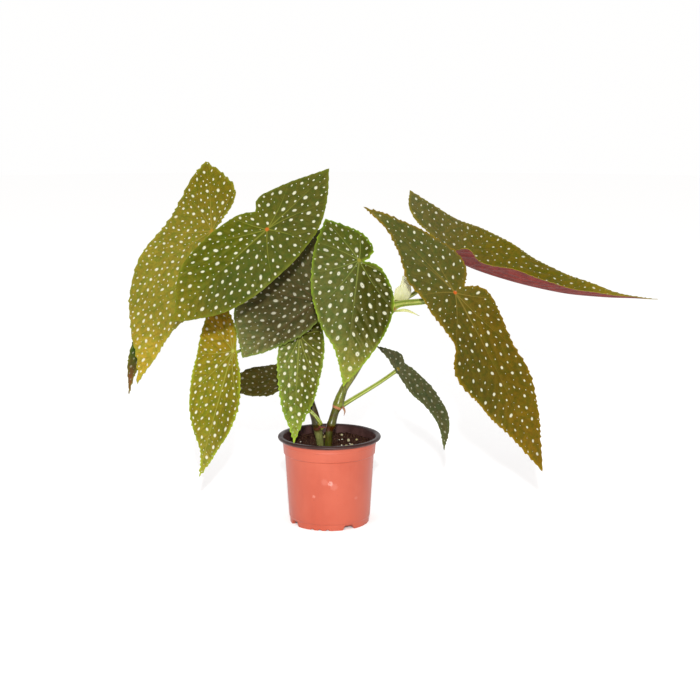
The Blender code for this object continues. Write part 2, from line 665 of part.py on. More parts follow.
def main():
    clear_scene()
    make_pot()
    soil = make_soil()
    cutters = {}
    for name in CANES:
        make_cane(name)
        cutters[name] = cane_cutter(name)
        cut(soil, cutters[name])
    for name, leaf in LEAVES.items():
        make_leaf(name, leaf)
        make_petiole(name.replace("leaf", "petiole"), leaf, cutters)
    for name in STIPULES:
        make_stipule(name, cutters)
    for cutter in cutters.values():
        bpy.data.objects.remove(cutter)


main()
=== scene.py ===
"""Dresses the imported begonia: spotted blades, stalks, canes, nursery pot, soil and a plain studio.

It is laid out as an add-on and run as a script. The tables are in millimetres in the model's own
frame, in which +Z is up and the plant is seen from -Y, and every mesh is made in metres.
"""

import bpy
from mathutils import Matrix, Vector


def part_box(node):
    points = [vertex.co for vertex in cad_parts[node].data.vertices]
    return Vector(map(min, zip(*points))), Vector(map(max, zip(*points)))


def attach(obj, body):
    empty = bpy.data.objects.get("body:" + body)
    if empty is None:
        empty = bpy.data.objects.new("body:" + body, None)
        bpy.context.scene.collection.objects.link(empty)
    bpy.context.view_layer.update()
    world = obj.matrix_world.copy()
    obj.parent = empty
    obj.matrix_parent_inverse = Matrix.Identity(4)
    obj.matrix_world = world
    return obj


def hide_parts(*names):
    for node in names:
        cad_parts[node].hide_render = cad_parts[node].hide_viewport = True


bl_info = {
    "name": "Potted cane begonia",
    "version": (1, 0, 0),
    "blender": (4, 5, 0),
    "location": "3D View > Sidebar > Begonia",
    "description": "Spotted leaf blades, stalks, canes, pot, soil and studio round the packed model",
    "category": "Object",
}

from math import cos, pi, radians, sin

import bmesh
import bpy
import numpy as np
from bpy.props import FloatProperty, FloatVectorProperty, IntProperty, PointerProperty
from mathutils import Vector, noise
from mathutils.geometry import delaunay_2d_cdt

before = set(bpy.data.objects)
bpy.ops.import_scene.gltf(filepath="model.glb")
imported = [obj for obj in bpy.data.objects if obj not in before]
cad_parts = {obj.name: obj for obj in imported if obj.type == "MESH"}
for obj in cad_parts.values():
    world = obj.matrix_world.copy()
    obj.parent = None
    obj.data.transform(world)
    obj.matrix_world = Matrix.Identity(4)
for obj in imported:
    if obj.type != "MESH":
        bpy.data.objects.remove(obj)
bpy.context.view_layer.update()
POT_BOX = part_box("pot")

MM = 0.001

# The studio's lights add up to more than 1 on a surface and lay a faint veil over it, so a surface is
# this much darker than the hex colour that it shows
SEEN_TO_SURFACE = 0.54
VEIL = 0.012

# One unit of a blade's flat map is this many millimetres
SHEET = 100.0

# Long lists of points are measured this many at a time, which keeps their tables small
CHUNK = 2000

# Forms shared with the model's source, in millimetres
GAP = 0.3
BLADE = 0.8
RIPPLE_REACH = 32.0
SEAT_REACH = 14.0
FOLD_ROUNDING = 5.0
KNOB_RADIUS = 3.0
NODE_SWELL = 0.16
NODE_REACH = 3.2
CANE_BURIED = 42.0
WALL = 0.9
FLOOR = 1.3
CHANNEL_DEPTH = 3.2
DISC_RADIUS = 22.0
SLOT_INNER = 29.5
SLOT_OUTER = 35.5
CHANNEL_OUTER = 39.9
FOOT_INNER = 42.6
COLLAR_RADIUS = 54.6
COLLAR_FOOT = 82.0
BODY_TOP_RADIUS = 51.9
BODY_FOOT_RADIUS = 47.3
FOOT_RADIUS = 46.2
FOOT_HEIGHT = 8.0
RIM_HEIGHT = 4.0
NOTCH_HEIGHT = 5.4
SOIL_HEIGHT = 91.5
SOIL_SLOPE = 0.035
SOIL_BUMP = 1.3

# Forms of this script alone, in millimetres: the fine bead round the pot's collar, the rings that a
# cane is swept in under the soil, its scars, and how a blade's side veins branch (the turn in radians)
COLLAR_BEAD = 93.0
CANE_STEP = 6.0
SCAR_REACH = 1.7
SCAR_HEIGHT = 0.22
BRANCH_TURN = 0.75
BRANCH_STEP = 3.0
BRANCH_STEPS = 20

# Degrees round the pot's foot: how far back the first of the four drain notches is turned, half a
# notch, its sloping side, half a slot, the scallops that follow a notch, and half a scallop, which is
# SCALLOP_HEIGHT millimetres high
NOTCH_BACK = 60
NOTCH_HALF = 9.7
NOTCH_SLOPE = 3.1
SLOT_HALF = 7.0
SCALLOPS = (35.0, -43.5, -32.0)
SCALLOP_HALF = 2.0
SCALLOP_HEIGHT = 1.7

# Each cane: points along its axis with the radius there, the heights of its nodes and of its scars,
# the colour of its foot, the heights between which it turns to other colours, and its scars' colour
CANES = {
    "cane_left": {
        "path": [
            (-10.3, -4, 91, 4.3), (-11.7, -5, 101, 4.6), (-12.8, -6, 109, 5.1), (-14.5, -7, 118, 5.3),
            (-17.8, -7, 130, 5.2), (-20.8, -6, 140, 4.8), (-24, -4, 152, 4.4), (-25.5, -2, 165, 4.1),
            (-26, 4, 208, 3.7), (-31, 10, 254, 3.4), (-38, 16, 297, 3.1), (-45, 14, 332, 2.6),
        ],
        "nodes": (118, 165, 208, 254, 297),
        "rings": (113, 166, 209, 255, 298), "foot": "#94985A", "ring": "#6E3A2A",
        "turns": ((108, 113, "#4B4524"), (119, 131, "#504624"), (160, 175, "#5A5A26")),
    },
    "cane_right": {
        "path": [
            (-1.3, -9, 91, 4.5), (-0.6, -9, 103, 4.2), (0.2, -8.5, 111, 4.2), (2.4, -8, 117, 4.8),
            (4.6, -7, 125, 4.8), (6.9, -6, 132, 4.7), (10.2, -5, 140, 5.5), (12.4, -4, 147, 5.7),
            (15, -3, 153.5, 5.0), (18, -2, 160, 4.6), (29, 1, 176, 4.2), (45, 4, 203, 3.8),
            (61, 4, 232, 3.6), (73, 2, 251, 3.5), (79, 1, 261, 3.0),
        ],
        "nodes": (117, 140, 203, 251),
        "rings": (136.6, 204, 252), "foot": "#585A26", "ring": "#CC8660",
        "turns": ((107, 110, "#57341F"), (114, 118, "#616222"), (134, 140, "#8C9636"), (150, 165, "#B0B44C")),
    },
}

# Each leaf: where its stalk joins, the way its midrib runs, the way its upper face looks, its droop
# (thousandths of a radian a millimetre), its fold (degrees), the height and number of its waves, its
# flat outline from the stalk in millimetres, and the stalk's points from its cane
LEAVES = {
    "leaf_01": {
        "at": (-136, 30, 338), "runs": (-0.42, -0.24, -0.87), "faces": (-0.45, -0.78, 0.43),
        "droop": (1.5, 1.0), "fold": (4, 4), "wave": (2.5, 5),
        "notch": (-4, 4), "tip": (199, -23), "lobe": (-74, -51),
        "short_edge": [(0, 32), (22, 52), (52, 56), (83, 43), (112, 12), (141, -4), (173, -14)],
        "long_edge": [(169, -34), (143, -56), (111, -71), (75, -77), (38, -72), (3, -62), (-36, -60)],
        "lobe_edge": [(-69, -25), (-58, 0), (-37, 9), (-13, 8)],
        "stalk": ("cane_left", (-38, 16, 297), [(-68, 32, 322), (-106, 40, 341)], 1.9),
    },
    "leaf_02": {
        "at": (-66, -80, 351), "runs": (-0.72, -0.26, -0.65), "faces": (-0.12, -0.86, 0.48),
        "droop": (1.5, 1.0), "fold": (3, 3), "wave": (2.0, 5),
        "notch": (-5, -24), "tip": (146, -7), "lobe": (-97, -4),
        "short_edge": [(15, -36), (47, -42), (84, -41), (112, -28), (132, -10)],
        "long_edge": [(129, 11), (104, 31), (78, 43), (33, 49), (-9, 49), (-45, 38), (-74, 18)],
        "lobe_edge": [(-68, -18), (-40, -30), (-18, -34)],
        "stalk": ("cane_left", (-44, 14, 327), [(-50, -16, 344), (-60, -50, 355)], 1.9),
    },
    "leaf_03": {
        "at": (-12, -34, 266), "runs": (-0.79, -0.14, -0.60), "faces": (-0.13, -0.91, 0.39),
        "droop": (1.5, 1.0), "fold": (3, 3), "wave": (2.5, 4),
        "notch": (-3, 11), "tip": (107, -3), "lobe": (-54, -64),
        "short_edge": [(15, 20), (41, 20), (66, 13), (87, 7)],
        "long_edge": [(96, -28), (83, -52), (56, -68), (22, -76), (-10, -74), (-34, -69)],
        "lobe_edge": [(-54, -37), (-45, -12), (-23, 8)],
        "stalk": ("cane_left", (-31, 10, 254), [(-22, -8, 259)], 1.9),
    },
    "leaf_04": {
        "at": (34, -62, 315), "runs": (-0.12, -0.48, -0.87), "faces": (0.18, -0.87, 0.46),
        "droop": (2.5, 1.5), "fold": (4, 4), "wave": (2.0, 4),
        "notch": (0, 6), "tip": (142, 4), "lobe": (-40, -44),
        "short_edge": [(4, 23), (22, 38), (45, 45), (73, 41), (105, 27)],
        "long_edge": [(119, -5), (101, -15), (80, -33), (51, -46), (22, -51), (-8, -51)],
        "lobe_edge": [(-39, -23), (-33, 1), (-18, 14), (-6, 12)],
        "stalk": ("cane_right", (45, 4, 203), [(50, 0, 232), (48, -14, 268), (41, -38, 300)], 2.0),
    },
    "leaf_05": {
        "at": (142, -35, 275), "runs": (0.41, -0.37, -0.83), "faces": (0.30, -0.80, 0.50),
        "droop": (1.6, 0.8), "fold": (4, 4), "wave": (2.5, 6),
        "notch": (-3, 14), "tip": (223, 22), "lobe": (-131, -55),
        "short_edge": [(4, 30), (22, 40), (70, 41), (115, 45), (156, 40), (197, 31)],
        "long_edge": [(200, 10), (177, -2), (149, -17), (129, -26), (106, -39), (86, -44), (72, -39),
                      (58, -30), (38, -32), (14, -39), (-6, -41), (-29, -51), (-46, -49), (-66, -44),
                      (-100, -44)],
        "lobe_edge": [(-109, -30), (-80, 0), (-49, 24), (-22, 26)],
        "stalk": ("cane_right", (74, -1, 254), [(79, -4, 257), (88, -9, 259.5), (98, -13, 261),
                                                (108, -16, 262.5), (128, -18, 267)], 3.5),
    },
    "leaf_06": {
        "at": (141, 40, 304), "runs": (0.88, 0.10, -0.40), "faces": (0.46, -0.04, 0.88),
        "droop": (-1.8, 0.0), "fold": (35, 34), "wave": (1.5, 6),
        "notch": (-9, 4), "tip": (257, 0), "lobe": (-66, 85),
        "short_edge": [(-5, -28), (1, -46), (9, -48), (17, -41), (26, -33), (40, -32), (73, -36), (110, -30),
                       (149, -25), (188, -15), (222, -7)],
        "long_edge": [(220, 8), (196, 16), (159, 31), (119, 47), (80, 63), (41, 74), (1, 75), (-34, 78)],
        "lobe_edge": [(-63, 60), (-50, 43), (-32, 31), (-17, 18)],
        "stalk": ("cane_right", (78, 4, 259), [(88, 11, 262), (101, 20, 268), (122, 31, 284)], 2.4),
    },
    "leaf_07": {
        "at": (-111, 0, 202), "runs": (-0.24, -0.35, -0.90), "faces": (-0.35, -0.84, 0.42),
        "droop": (1.5, 1.0), "fold": (4, 4), "wave": (2.0, 5),
        "notch": (-2, 4), "tip": (150, -9), "lobe": (-61, -34),
        "short_edge": [(20, 15), (52, 23), (85, 23), (114, 10)],
        "long_edge": [(119, -13), (90, -32), (61, -40), (20, -43), (-17, -46), (-43, -43)],
        "lobe_edge": [(-45, -18), (-22, -2)],
        "stalk": ("cane_left", (-26, 4, 208), [(-57, 8, 208), (-88, 13, 206)], 1.8),
    },
    "leaf_08": {
        "at": (-33, -27, 225), "runs": (-0.05, -0.27, -0.95), "faces": (0.05, -0.95, 0.28),
        "droop": (1.5, 1.0), "fold": (5, 5), "wave": (2.0, 5),
        "notch": (-2, -9), "tip": (123, 0), "lobe": (-27, 15),
        "short_edge": [(7, -21), (27, -24), (54, -22), (83, -16), (106, -6)],
        "long_edge": [(99, 9), (74, 20), (46, 26), (15, 29), (-10, 25)],
        "lobe_edge": [(-20, 3), (-10, -5)],
        "stalk": ("cane_left", (-26, 4, 208), [(-29, -8, 219)], 1.7),
    },
    "leaf_09": {
        "at": (-55, 52, 154), "runs": (-0.99, 0.09, -0.12), "faces": (-0.15, -0.62, 0.77),
        "droop": (2.5, 1.0), "fold": (5, 5), "wave": (2.5, 4),
        "notch": (-4, 8), "tip": (87, -5), "lobe": (-33, -11),
        "short_edge": [(14, 18), (35, 14), (60, 6)],
        "long_edge": [(72, -16), (51, -24), (27, -30), (3, -28), (-17, -22)],
        "lobe_edge": [(-22, 0), (-11, 6)],
        "stalk": ("cane_left", (-12, -10, 118), [(-10, -14, 120), (-13, -16, 125), (-17, -16, 130),
                                                 (-24, -12, 136), (-38, 18, 144)], 1.9),
    },
    "leaf_10": {
        "at": (80, 18, 177), "runs": (0.50, -0.29, -0.82), "faces": (0.45, -0.72, 0.53),
        "droop": (1.5, 1.0), "fold": (5, 5), "wave": (1.5, 4),
        "notch": (-3, 12), "tip": (109, 6), "lobe": (-36, -9),
        "short_edge": [(12, 20), (37, 30), (64, 32), (87, 25)],
        "long_edge": [(78, 12), (51, 7), (27, -1), (4, -4), (-17, -6)],
        "lobe_edge": [(-26, 5), (-15, 15)],
        "stalk": ("cane_right", (11, -4, 137), [(18, -1, 140), (29, 3, 146), (44, 9, 154), (60, 15, 163)],
                  2.4),
    },
    "leaf_11": {
        "at": (-189, 75, 240), "runs": (-0.44, -0.23, -0.87), "faces": (-0.45, -0.78, 0.43),
        "droop": (1.5, 1.0), "fold": (4, 4), "wave": (1.5, 4),
        "notch": (-4, 4), "tip": (116, -8), "lobe": (-46, -22),
        "short_edge": [(8, 14), (36, 10), (66, -2), (91, -9)],
        "long_edge": [(93, -21), (69, -29), (35, -32), (5, -35), (-21, -32)],
        "lobe_edge": [(-33, -4), (-16, 4)],
        "stalk": ("cane_left", (-31, 10, 254), [(-75, 44, 276), (-140, 80, 272)], 1.7),
    },
}

# The look of each leaf: the colours of its half right and left of the midrib, which hold both its own
# colour and painted shade from the fold, of its ends at the lobe and at the tip, of its margin, its veins
# and its stalk's seat; how plain the veins are, how large and how far apart the spots, how dark their
# middles and the painted shade in the valleys along the side veins, how dim the spots are, which is
# partly painted shade on the leaves that lie in shade; and how long and high its teeth
LOOKS = {
    "leaf_01": {
        "halves": ("#97873B", "#9D8E36"), "ends": ("#807222", "#D6B13E"), "margin": "#A3A238",
        "veins": "#A08D40", "seat": "#B58A32", "vein_share": 0.28, "spot_size": 0.64, "spread": 0.92,
        "heart": 0.05, "valleys": 0.35, "dimmed": 0.0, "teeth": (1.45, 1.25),
    },
    "leaf_02": {
        "halves": ("#5B5F2A", "#626420"), "ends": ("#615F2D", "#8B7C29"), "margin": "#77802C",
        "veins": "#7E8038", "seat": "#C8652F", "vein_share": 0.20, "spot_size": 0.74, "spread": 1.12,
        "heart": 0.15, "valleys": 0.40, "dimmed": 0.18, "teeth": (1.3, 0.35),
    },
    "leaf_03": {
        "halves": ("#5B5435", "#585135"), "ends": ("#65613C", "#87844F"), "margin": "#7E9440",
        "veins": "#5C4C36", "seat": "#A0442A", "vein_share": 0.35, "spot_size": 0.68, "spread": 0.95,
        "heart": 0.2, "valleys": 0.35, "dimmed": 0.40, "teeth": (1.0, 0.8),
    },
    "leaf_04": {
        "halves": ("#48471C", "#676938"), "ends": ("#5B6024", "#A19D47"), "margin": "#93B432",
        "veins": "#7C8444", "seat": "#8F8A3A", "vein_share": 0.16, "spot_size": 0.80, "spread": 1.12,
        "heart": 0.65, "valleys": 0.18, "dimmed": 0.18, "teeth": (1.0, 0.7),
    },
    "leaf_05": {
        "halves": ("#715C21", "#675925"), "ends": ("#666536", "#906F25"), "margin": "#A07E1E",
        "veins": "#84743A", "seat": "#D0602E", "vein_share": 0.30, "spot_size": 0.60, "spread": 1.35,
        "heart": 0.1, "valleys": 0.30, "dimmed": 0.15, "teeth": (1.1, 1.0),
    },
    "leaf_06": {
        "halves": ("#857122", "#7D6C20"), "ends": ("#736E43", "#B49832"), "margin": "#A0902C",
        "veins": "#7C7438", "seat": "#B04A2A", "vein_share": 0.25, "spot_size": 0.60, "spread": 1.45,
        "heart": 0.1, "valleys": 0.30, "dimmed": 0.10, "teeth": (1.0, 0.7),
    },
    "leaf_07": {
        "halves": ("#8A7E27", "#998D2B"), "ends": ("#C4972F", "#A49842"), "margin": "#B2C43A",
        "veins": "#A2A04A", "seat": "#C4C860", "vein_share": 0.85, "spot_size": 0.66, "spread": 0.95,
        "heart": 0.05, "valleys": 0.80, "dimmed": 0.0, "teeth": (1.0, 0.9),
    },
    "leaf_08": {
        # Painted shadow: the near-black maroon at this leaf's stalk end stands for the shadow of leaf_03 over
        # it
        "halves": ("#656725", "#7C833C"), "ends": ("#301408", "#95A340"), "margin": "#A0C040",
        "veins": "#8A9044", "seat": "#8A5A2C", "vein_share": 0.35, "spot_size": 0.72, "spread": 0.92,
        "heart": 0.30, "valleys": 0.85, "dimmed": 0.0, "teeth": (1.0, 0.8),
    },
    "leaf_09": {
        "halves": ("#605529", "#60552B"), "ends": ("#605529", "#6C6637"), "margin": "#6C6C34",
        "veins": "#5E5630", "seat": "#8A5A2A", "vein_share": 0.40, "spot_size": 0.62, "spread": 1.05,
        "heart": 0.1, "valleys": 0.40, "dimmed": 0.60, "teeth": (1.0, 0.8),
    },
    "leaf_10": {
        "halves": ("#636342", "#5F5F40"), "ends": ("#69674E", "#686540"), "margin": "#70764A",
        "veins": "#66664A", "seat": "#9A8A3A", "vein_share": 0.35, "spot_size": 0.52, "spread": 1.0,
        "heart": 0.1, "valleys": 0.30, "dimmed": 0.55, "teeth": (0.9, 0.7),
    },
    "leaf_11": {
        "halves": ("#4C5E24", "#46602A"), "ends": ("#3C5A1E", "#9A4A3A"), "margin": "#8A8A34",
        "veins": "#7E7838", "seat": "#8A6A2A", "vein_share": 0.35, "spot_size": 0.62, "spread": 0.9,
        "heart": 0.1, "valleys": 0.30, "dimmed": 0.70, "teeth": (1.0, 0.9),
    },
}

# Each stipule: its points from the cane outwards, its width, how much it is cupped, and its colours
STIPULES = {
    "stipule_1": ([(77.5, 1, 255), (80, 1, 259), (84.5, 0, 268), (87, -2, 277), (86, -4, 285),
                   (84.5, -5, 290)], 24.0, 0.25, "#FFFFD2", "#E2E488"),
    "stipule_2": ([(73.5, 1, 248), (81.5, -5, 250), (86.5, -6, 250.5), (93, -7, 249), (103.5, -7, 244)],
                  4.0, 0.25, "#F4F2AE", "#B8CC58"),
    "stipule_3": ([(10, -5, 138), (14.5, -8.5, 138), (16.5, -11, 137), (18, -12, 133), (17, -12, 128)],
                  3.4, 0.25, "#B98A68", "#7E4A38"),
    "stipule_4": ([(-14.4, -7, 114.5), (-12, -13.5, 115), (-8, -16.5, 115.5), (-3, -18, 115.5)],
                  3.6, 0.25, "#8A5240", "#5E3026"),
}

# Marks on the pot's wall: the centre in millimetres, the size, how plain it is, and its colour
POT_MARKS = (
    ((5.5, -50.1, 53.5), 5.2, 0.22, "#F59C8A"), ((-5.0, -50.1, 59.0), 5.0, 0.20, "#F59C8A"),
    ((1.7, -50.3, 57.2), 3.4, 0.80, "#F8B0A2"), ((1.5, -50.4, 57.4), 0.8, 0.85, "#C4503E"),
    ((-17.2, -46.2, 41.2), 2.2, 0.55, "#F4A08E"), ((-17.6, -45.9, 36.8), 0.9, 0.7, "#B9503C"),
    ((30.9, -38.0, 37.5), 2.2, 0.35, "#E8907E"), ((9.9, -49.5, 43.0), 0.9, 0.6, "#C25A48"),
    ((10.3, -53.0, 84.6), 0.9, 0.85, "#A03C2E"), ((-12.8, -53.4, 92.0), 1.8, 0.7, "#BE5440"),
    ((19.4, -48.5, 58.0), 2.0, 0.3, "#D05A52"),
)


def hex_colour(code):
    """The linear surface colour that shows as an sRGB hex value under the studio's lights."""
    channels = [int(code[start:start + 2], 16) / 255 for start in (1, 3, 5)]
    linear = [c / 12.92 if c <= 0.04045 else ((c + 0.055) / 1.055) ** 2.4 for c in channels]
    return (*(max(0.001, SEEN_TO_SURFACE * (c - VEIL)) for c in linear), 1.0)


def add(tree, kind, inputs=None, out=None, **settings):
    """Adds a node with its settings; its inputs, by identifier, name or number, are set or linked.

    It gives back the node, or the output socket that out names or numbers.
    """
    made = tree.nodes.new(kind)
    for name, value in settings.items():
        setattr(made, name, value)
    for key, value in (inputs or {}).items():
        known = {socket.identifier: socket for socket in made.inputs}
        socket = known[key] if key in known else made.inputs[key]
        if isinstance(value, bpy.types.NodeSocket):
            tree.links.new(value, socket)
        else:
            socket.default_value = value
    return made if out is None else made.outputs[out]


def start_material(name, roughness, sheen=0.2, tint=(1.0, 1.0, 1.0, 1.0)):
    """A new material with its tree and its surface node; sheen is how strongly it mirrors, in a tint."""
    made = bpy.data.materials.new(name)
    made.use_nodes = True
    surface = made.node_tree.nodes["Principled BSDF"]
    surface.inputs["Roughness"].default_value = roughness
    surface.inputs["Specular IOR Level"].default_value = sheen
    surface.inputs["Specular Tint"].default_value = tint
    return made, made.node_tree, surface


def lay_over(tree, colour, layers, fade="SMOOTHSTEP"):
    """Lays hex colours over a colour, each by a share that runs from first, where its value is low, to
    last, where it is high."""
    for value, low, high, first, last, code, *blend in layers:
        share = add(tree, "ShaderNodeMapRange", {
            "Value": value, "From Min": low, "From Max": high, "To Min": first, "To Max": last}, 0,
            interpolation_type=fade)
        colour = add(tree, "ShaderNodeMix", {
            "Factor_Float": share, "A_Color": colour, "B_Color": hex_colour(code)}, 2,
            data_type="RGBA", blend_type=blend[0] if blend else "MIX")
    return colour


def cover(tree, surface, colour, relief=None, rough=None):
    """Links a surface to its colour and, where they vary, to its relief and its roughness."""
    for socket, value in (("Base Color", colour), ("Normal", relief), ("Roughness", rough)):
        if value is not None:
            tree.links.new(value, surface.inputs[socket])


def start_tree(name, inputs, output):
    """A new geometry tree with named inputs and one shape as its output, and what it is given."""
    tree = bpy.data.node_groups.new(name, "GeometryNodeTree")
    for label, kind in inputs:
        tree.interface.new_socket(label, in_out="INPUT", socket_type="NodeSocket" + kind)
    tree.interface.new_socket(output, in_out="OUTPUT", socket_type="NodeSocketGeometry")
    return tree, add(tree, "NodeGroupInput").outputs


def end_tree(tree, shape, finish):
    """Ends a geometry tree with its shape made real and its material set."""
    whole = add(tree, "GeometryNodeRealizeInstances", {0: shape}, 0)
    finished = add(tree, "GeometryNodeSetMaterial", {"Geometry": whole, "Material": finish}, 0)
    add(tree, "NodeGroupOutput", {0: finished})
    return tree


# Curves and flat shapes

def unit(vector):
    """The vector, one long."""
    vector = np.array(vector, float)
    return vector / np.linalg.norm(vector)


def smooth_curve(points, count):
    """Points evenly spaced along a smooth curve through the given points, both ends included."""
    knots = np.array(points, float)
    if len(knots) == 2:
        steps = np.linspace(0, 1, count)[:, None]
        return knots[0] * (1 - steps) + knots[1] * steps
    ends = np.vstack([2 * knots[0] - knots[1], knots, 2 * knots[-1] - knots[-2]])
    dense = []
    for p0, p1, p2, p3 in zip(ends, ends[1:], ends[2:], ends[3:]):
        for u in np.linspace(0, 1, 24, endpoint=False):
            dense.append(
                (2 * u**3 - 3 * u**2 + 1) * p1 + (u**3 - 2 * u**2 + u) * (p2 - p0) / 2
                + (3 * u**2 - 2 * u**3) * p2 + (u**3 - u**2) * (p3 - p1) / 2
            )
    dense = np.array(dense + [knots[-1]])
    reach = np.concatenate([[0], np.cumsum(np.linalg.norm(np.diff(dense[:, :3], axis=0), axis=1))])
    wanted = np.linspace(0, reach[-1], count)
    return np.column_stack([np.interp(wanted, reach, dense[:, i]) for i in range(dense.shape[1])])


def curve_length(points):
    """Length of the smooth curve through the points."""
    dense = smooth_curve(points, 60)
    return float(np.linalg.norm(np.diff(dense, axis=0), axis=1).sum())


def signed_area(flat):
    """Area of a flat outline, above zero where it runs anticlockwise."""
    x, y = flat[:, 0], flat[:, 1]
    return 0.5 * float(np.sum(x * np.roll(y, -1) - y * np.roll(x, -1)))


def in_parts(points):
    """Splits a long list of points into parts of about CHUNK."""
    return np.array_split(points, max(1, len(points) // CHUNK))


def inside(outline, points):
    """Which points lie inside the closed outline, by counting the edges crossed on the way out."""
    start = outline
    end = np.roll(outline, -1, axis=0)
    rise = end[:, 1] - start[:, 1]
    rise = np.where(np.abs(rise) < 1e-9, 1e-9, rise)
    found = []
    for part in in_parts(points):
        x, y = part[:, 0][:, None], part[:, 1][:, None]
        spans = (start[:, 1] > y) != (end[:, 1] > y)
        crossing = start[:, 0] + (y - start[:, 1]) * (end[:, 0] - start[:, 0]) / rise
        found.append((spans & (x < crossing)).sum(axis=1) % 2 == 1)
    return np.concatenate(found)


def distance_to(outline, points):
    """Distance from each point to the outline's nearest corner."""
    return np.concatenate([np.linalg.norm(part[:, None] - outline[None], axis=2).min(axis=1)
                           for part in in_parts(points)])


def segment_facts(starts, ends, points):
    """For each point, the nearest segment and the distance to it."""
    run = ends - starts
    size = np.maximum((run * run).sum(axis=1), 1e-9)
    nearest, distance = [], []
    for part in in_parts(points):
        offset = part[:, None] - starts[None]
        share = np.clip((offset * run).sum(axis=2) / size, 0, 1)
        away = np.linalg.norm(offset - share[..., None] * run, axis=2)
        nearest.append(away.argmin(axis=1))
        distance.append(away.min(axis=1))
    return np.concatenate(nearest), np.concatenate(distance)


# Leaf blades

def leaf_axes(leaf):
    """A leaf's directions: along its midrib, beside it and up from its upper face."""
    along = unit(leaf["runs"])
    up = np.array(leaf["faces"], float)
    up = unit(up - along * (up @ along))
    return along, np.cross(up, along), up


def bend(leaf, a, b):
    """Places flat points (a along the midrib, b beside it) on the drooping, folded blade."""
    along, beside, up = leaf_axes(leaf)
    tip_droop, lobe_droop = leaf["droop"]
    turn = np.where(a > 0, tip_droop, lobe_droop) / 1000 + 1e-9
    angle = turn * a
    out = np.sin(angle) / turn
    drop = (1 - np.cos(angle)) / turn
    here_up = up * np.cos(angle)[:, None] + along * np.sin(angle)[:, None]
    spine = np.array(leaf["at"], float) + along * out[:, None] - up * drop[:, None]
    left_fold, right_fold = leaf["fold"]
    fold = np.radians(np.where(b > 0, left_fold, right_fold))
    rise = (np.sqrt(b * b + FOLD_ROUNDING**2) - FOLD_ROUNDING) * np.sin(fold)
    return spine + beside * (b * np.cos(fold))[:, None] + here_up * rise[:, None]


def tooth_heights(length, reach, lean, rng, pitch, height):
    """How far the toothed edge stands out at each distance: uneven teeth that lean one way."""
    starts = [0.0]
    while starts[-1] < length:
        starts.append(starts[-1] + pitch * rng.uniform(0.45, 1.65))
    starts = np.array(starts)
    heights = rng.uniform(0.15, 1.35, len(starts))
    index = np.searchsorted(starts, reach, side="right") - 1
    phase = (reach - starts[index]) / (starts[index + 1] - starts[index])
    peak = np.where(phase < lean, phase / lean, (1 - phase) / (1 - lean))
    small = np.abs((reach / (pitch * 0.31)) % 1 - 0.5) * 2
    ends = np.clip(np.minimum(reach, length - reach) / 5, 0, 1)
    return height * ends * ((peak**1.4 - 0.45) * heights[index] + 0.14 * (small - 0.5))


def blade_outline(leaf, step, rng, pitch, height):
    """The smooth outline, the share of its length at each point, and its toothed form."""
    corners = leaf["notch"], leaf["tip"], leaf["lobe"], leaf["notch"]
    edges = leaf["short_edge"], leaf["long_edge"], leaf["lobe_edge"]
    smooth, offsets = [], []
    for start, edge, end, lean in zip(corners, edges, corners[1:], (0.74, 0.26, 0.26)):
        points = [start, *edge, end]
        length = curve_length(points)
        count = max(8, round(length / step))
        curve = smooth_curve(points, count + 1)[:, :2]
        heading = np.gradient(curve, axis=0)
        outward = np.column_stack([-heading[:, 1], heading[:, 0]])
        outward /= np.linalg.norm(outward, axis=1)[:, None]
        reach = np.linspace(0, length, count + 1)
        teeth = tooth_heights(length, np.minimum(reach, length - 1e-6), lean, rng, pitch, height)
        smooth.append(curve[:-1])
        offsets.append((outward * teeth[:, None])[:-1])
    smooth = np.vstack(smooth)
    offsets = np.vstack(offsets)
    if signed_area(smooth) > 0:
        offsets = -offsets
    sizes = np.linalg.norm(np.roll(smooth, -1, axis=0) - smooth, axis=1)
    share = np.concatenate([[0], np.cumsum(sizes)[:-1]]) / sizes.sum()
    return smooth, share, smooth + offsets


def blade_net(outline, spacing):
    """Splits a flat outline into even triangles: the points, outline first, and the triangles."""
    low = outline.min(axis=0)
    high = outline.max(axis=0)
    rows = int((high[1] - low[1]) / (spacing * 0.87)) + 1
    columns = int((high[0] - low[0]) / spacing) + 2
    across, up = np.meshgrid(np.arange(columns), np.arange(rows))
    grid = np.column_stack([
        (low[0] + (across + 0.5 * (up % 2)) * spacing).ravel(),
        (low[1] + (up + 0.5) * spacing * 0.87).ravel(),
    ])
    grid = grid[inside(outline, grid)]
    grid = grid[distance_to(outline, grid) > 0.6 * spacing]
    points = np.vstack([outline, grid])
    loop = [(step, (step + 1) % len(outline)) for step in range(len(outline))]
    found = delaunay_2d_cdt([Vector(p) for p in points.tolist()], loop, [], 1, 1e-5)
    return points, np.array(found[2])


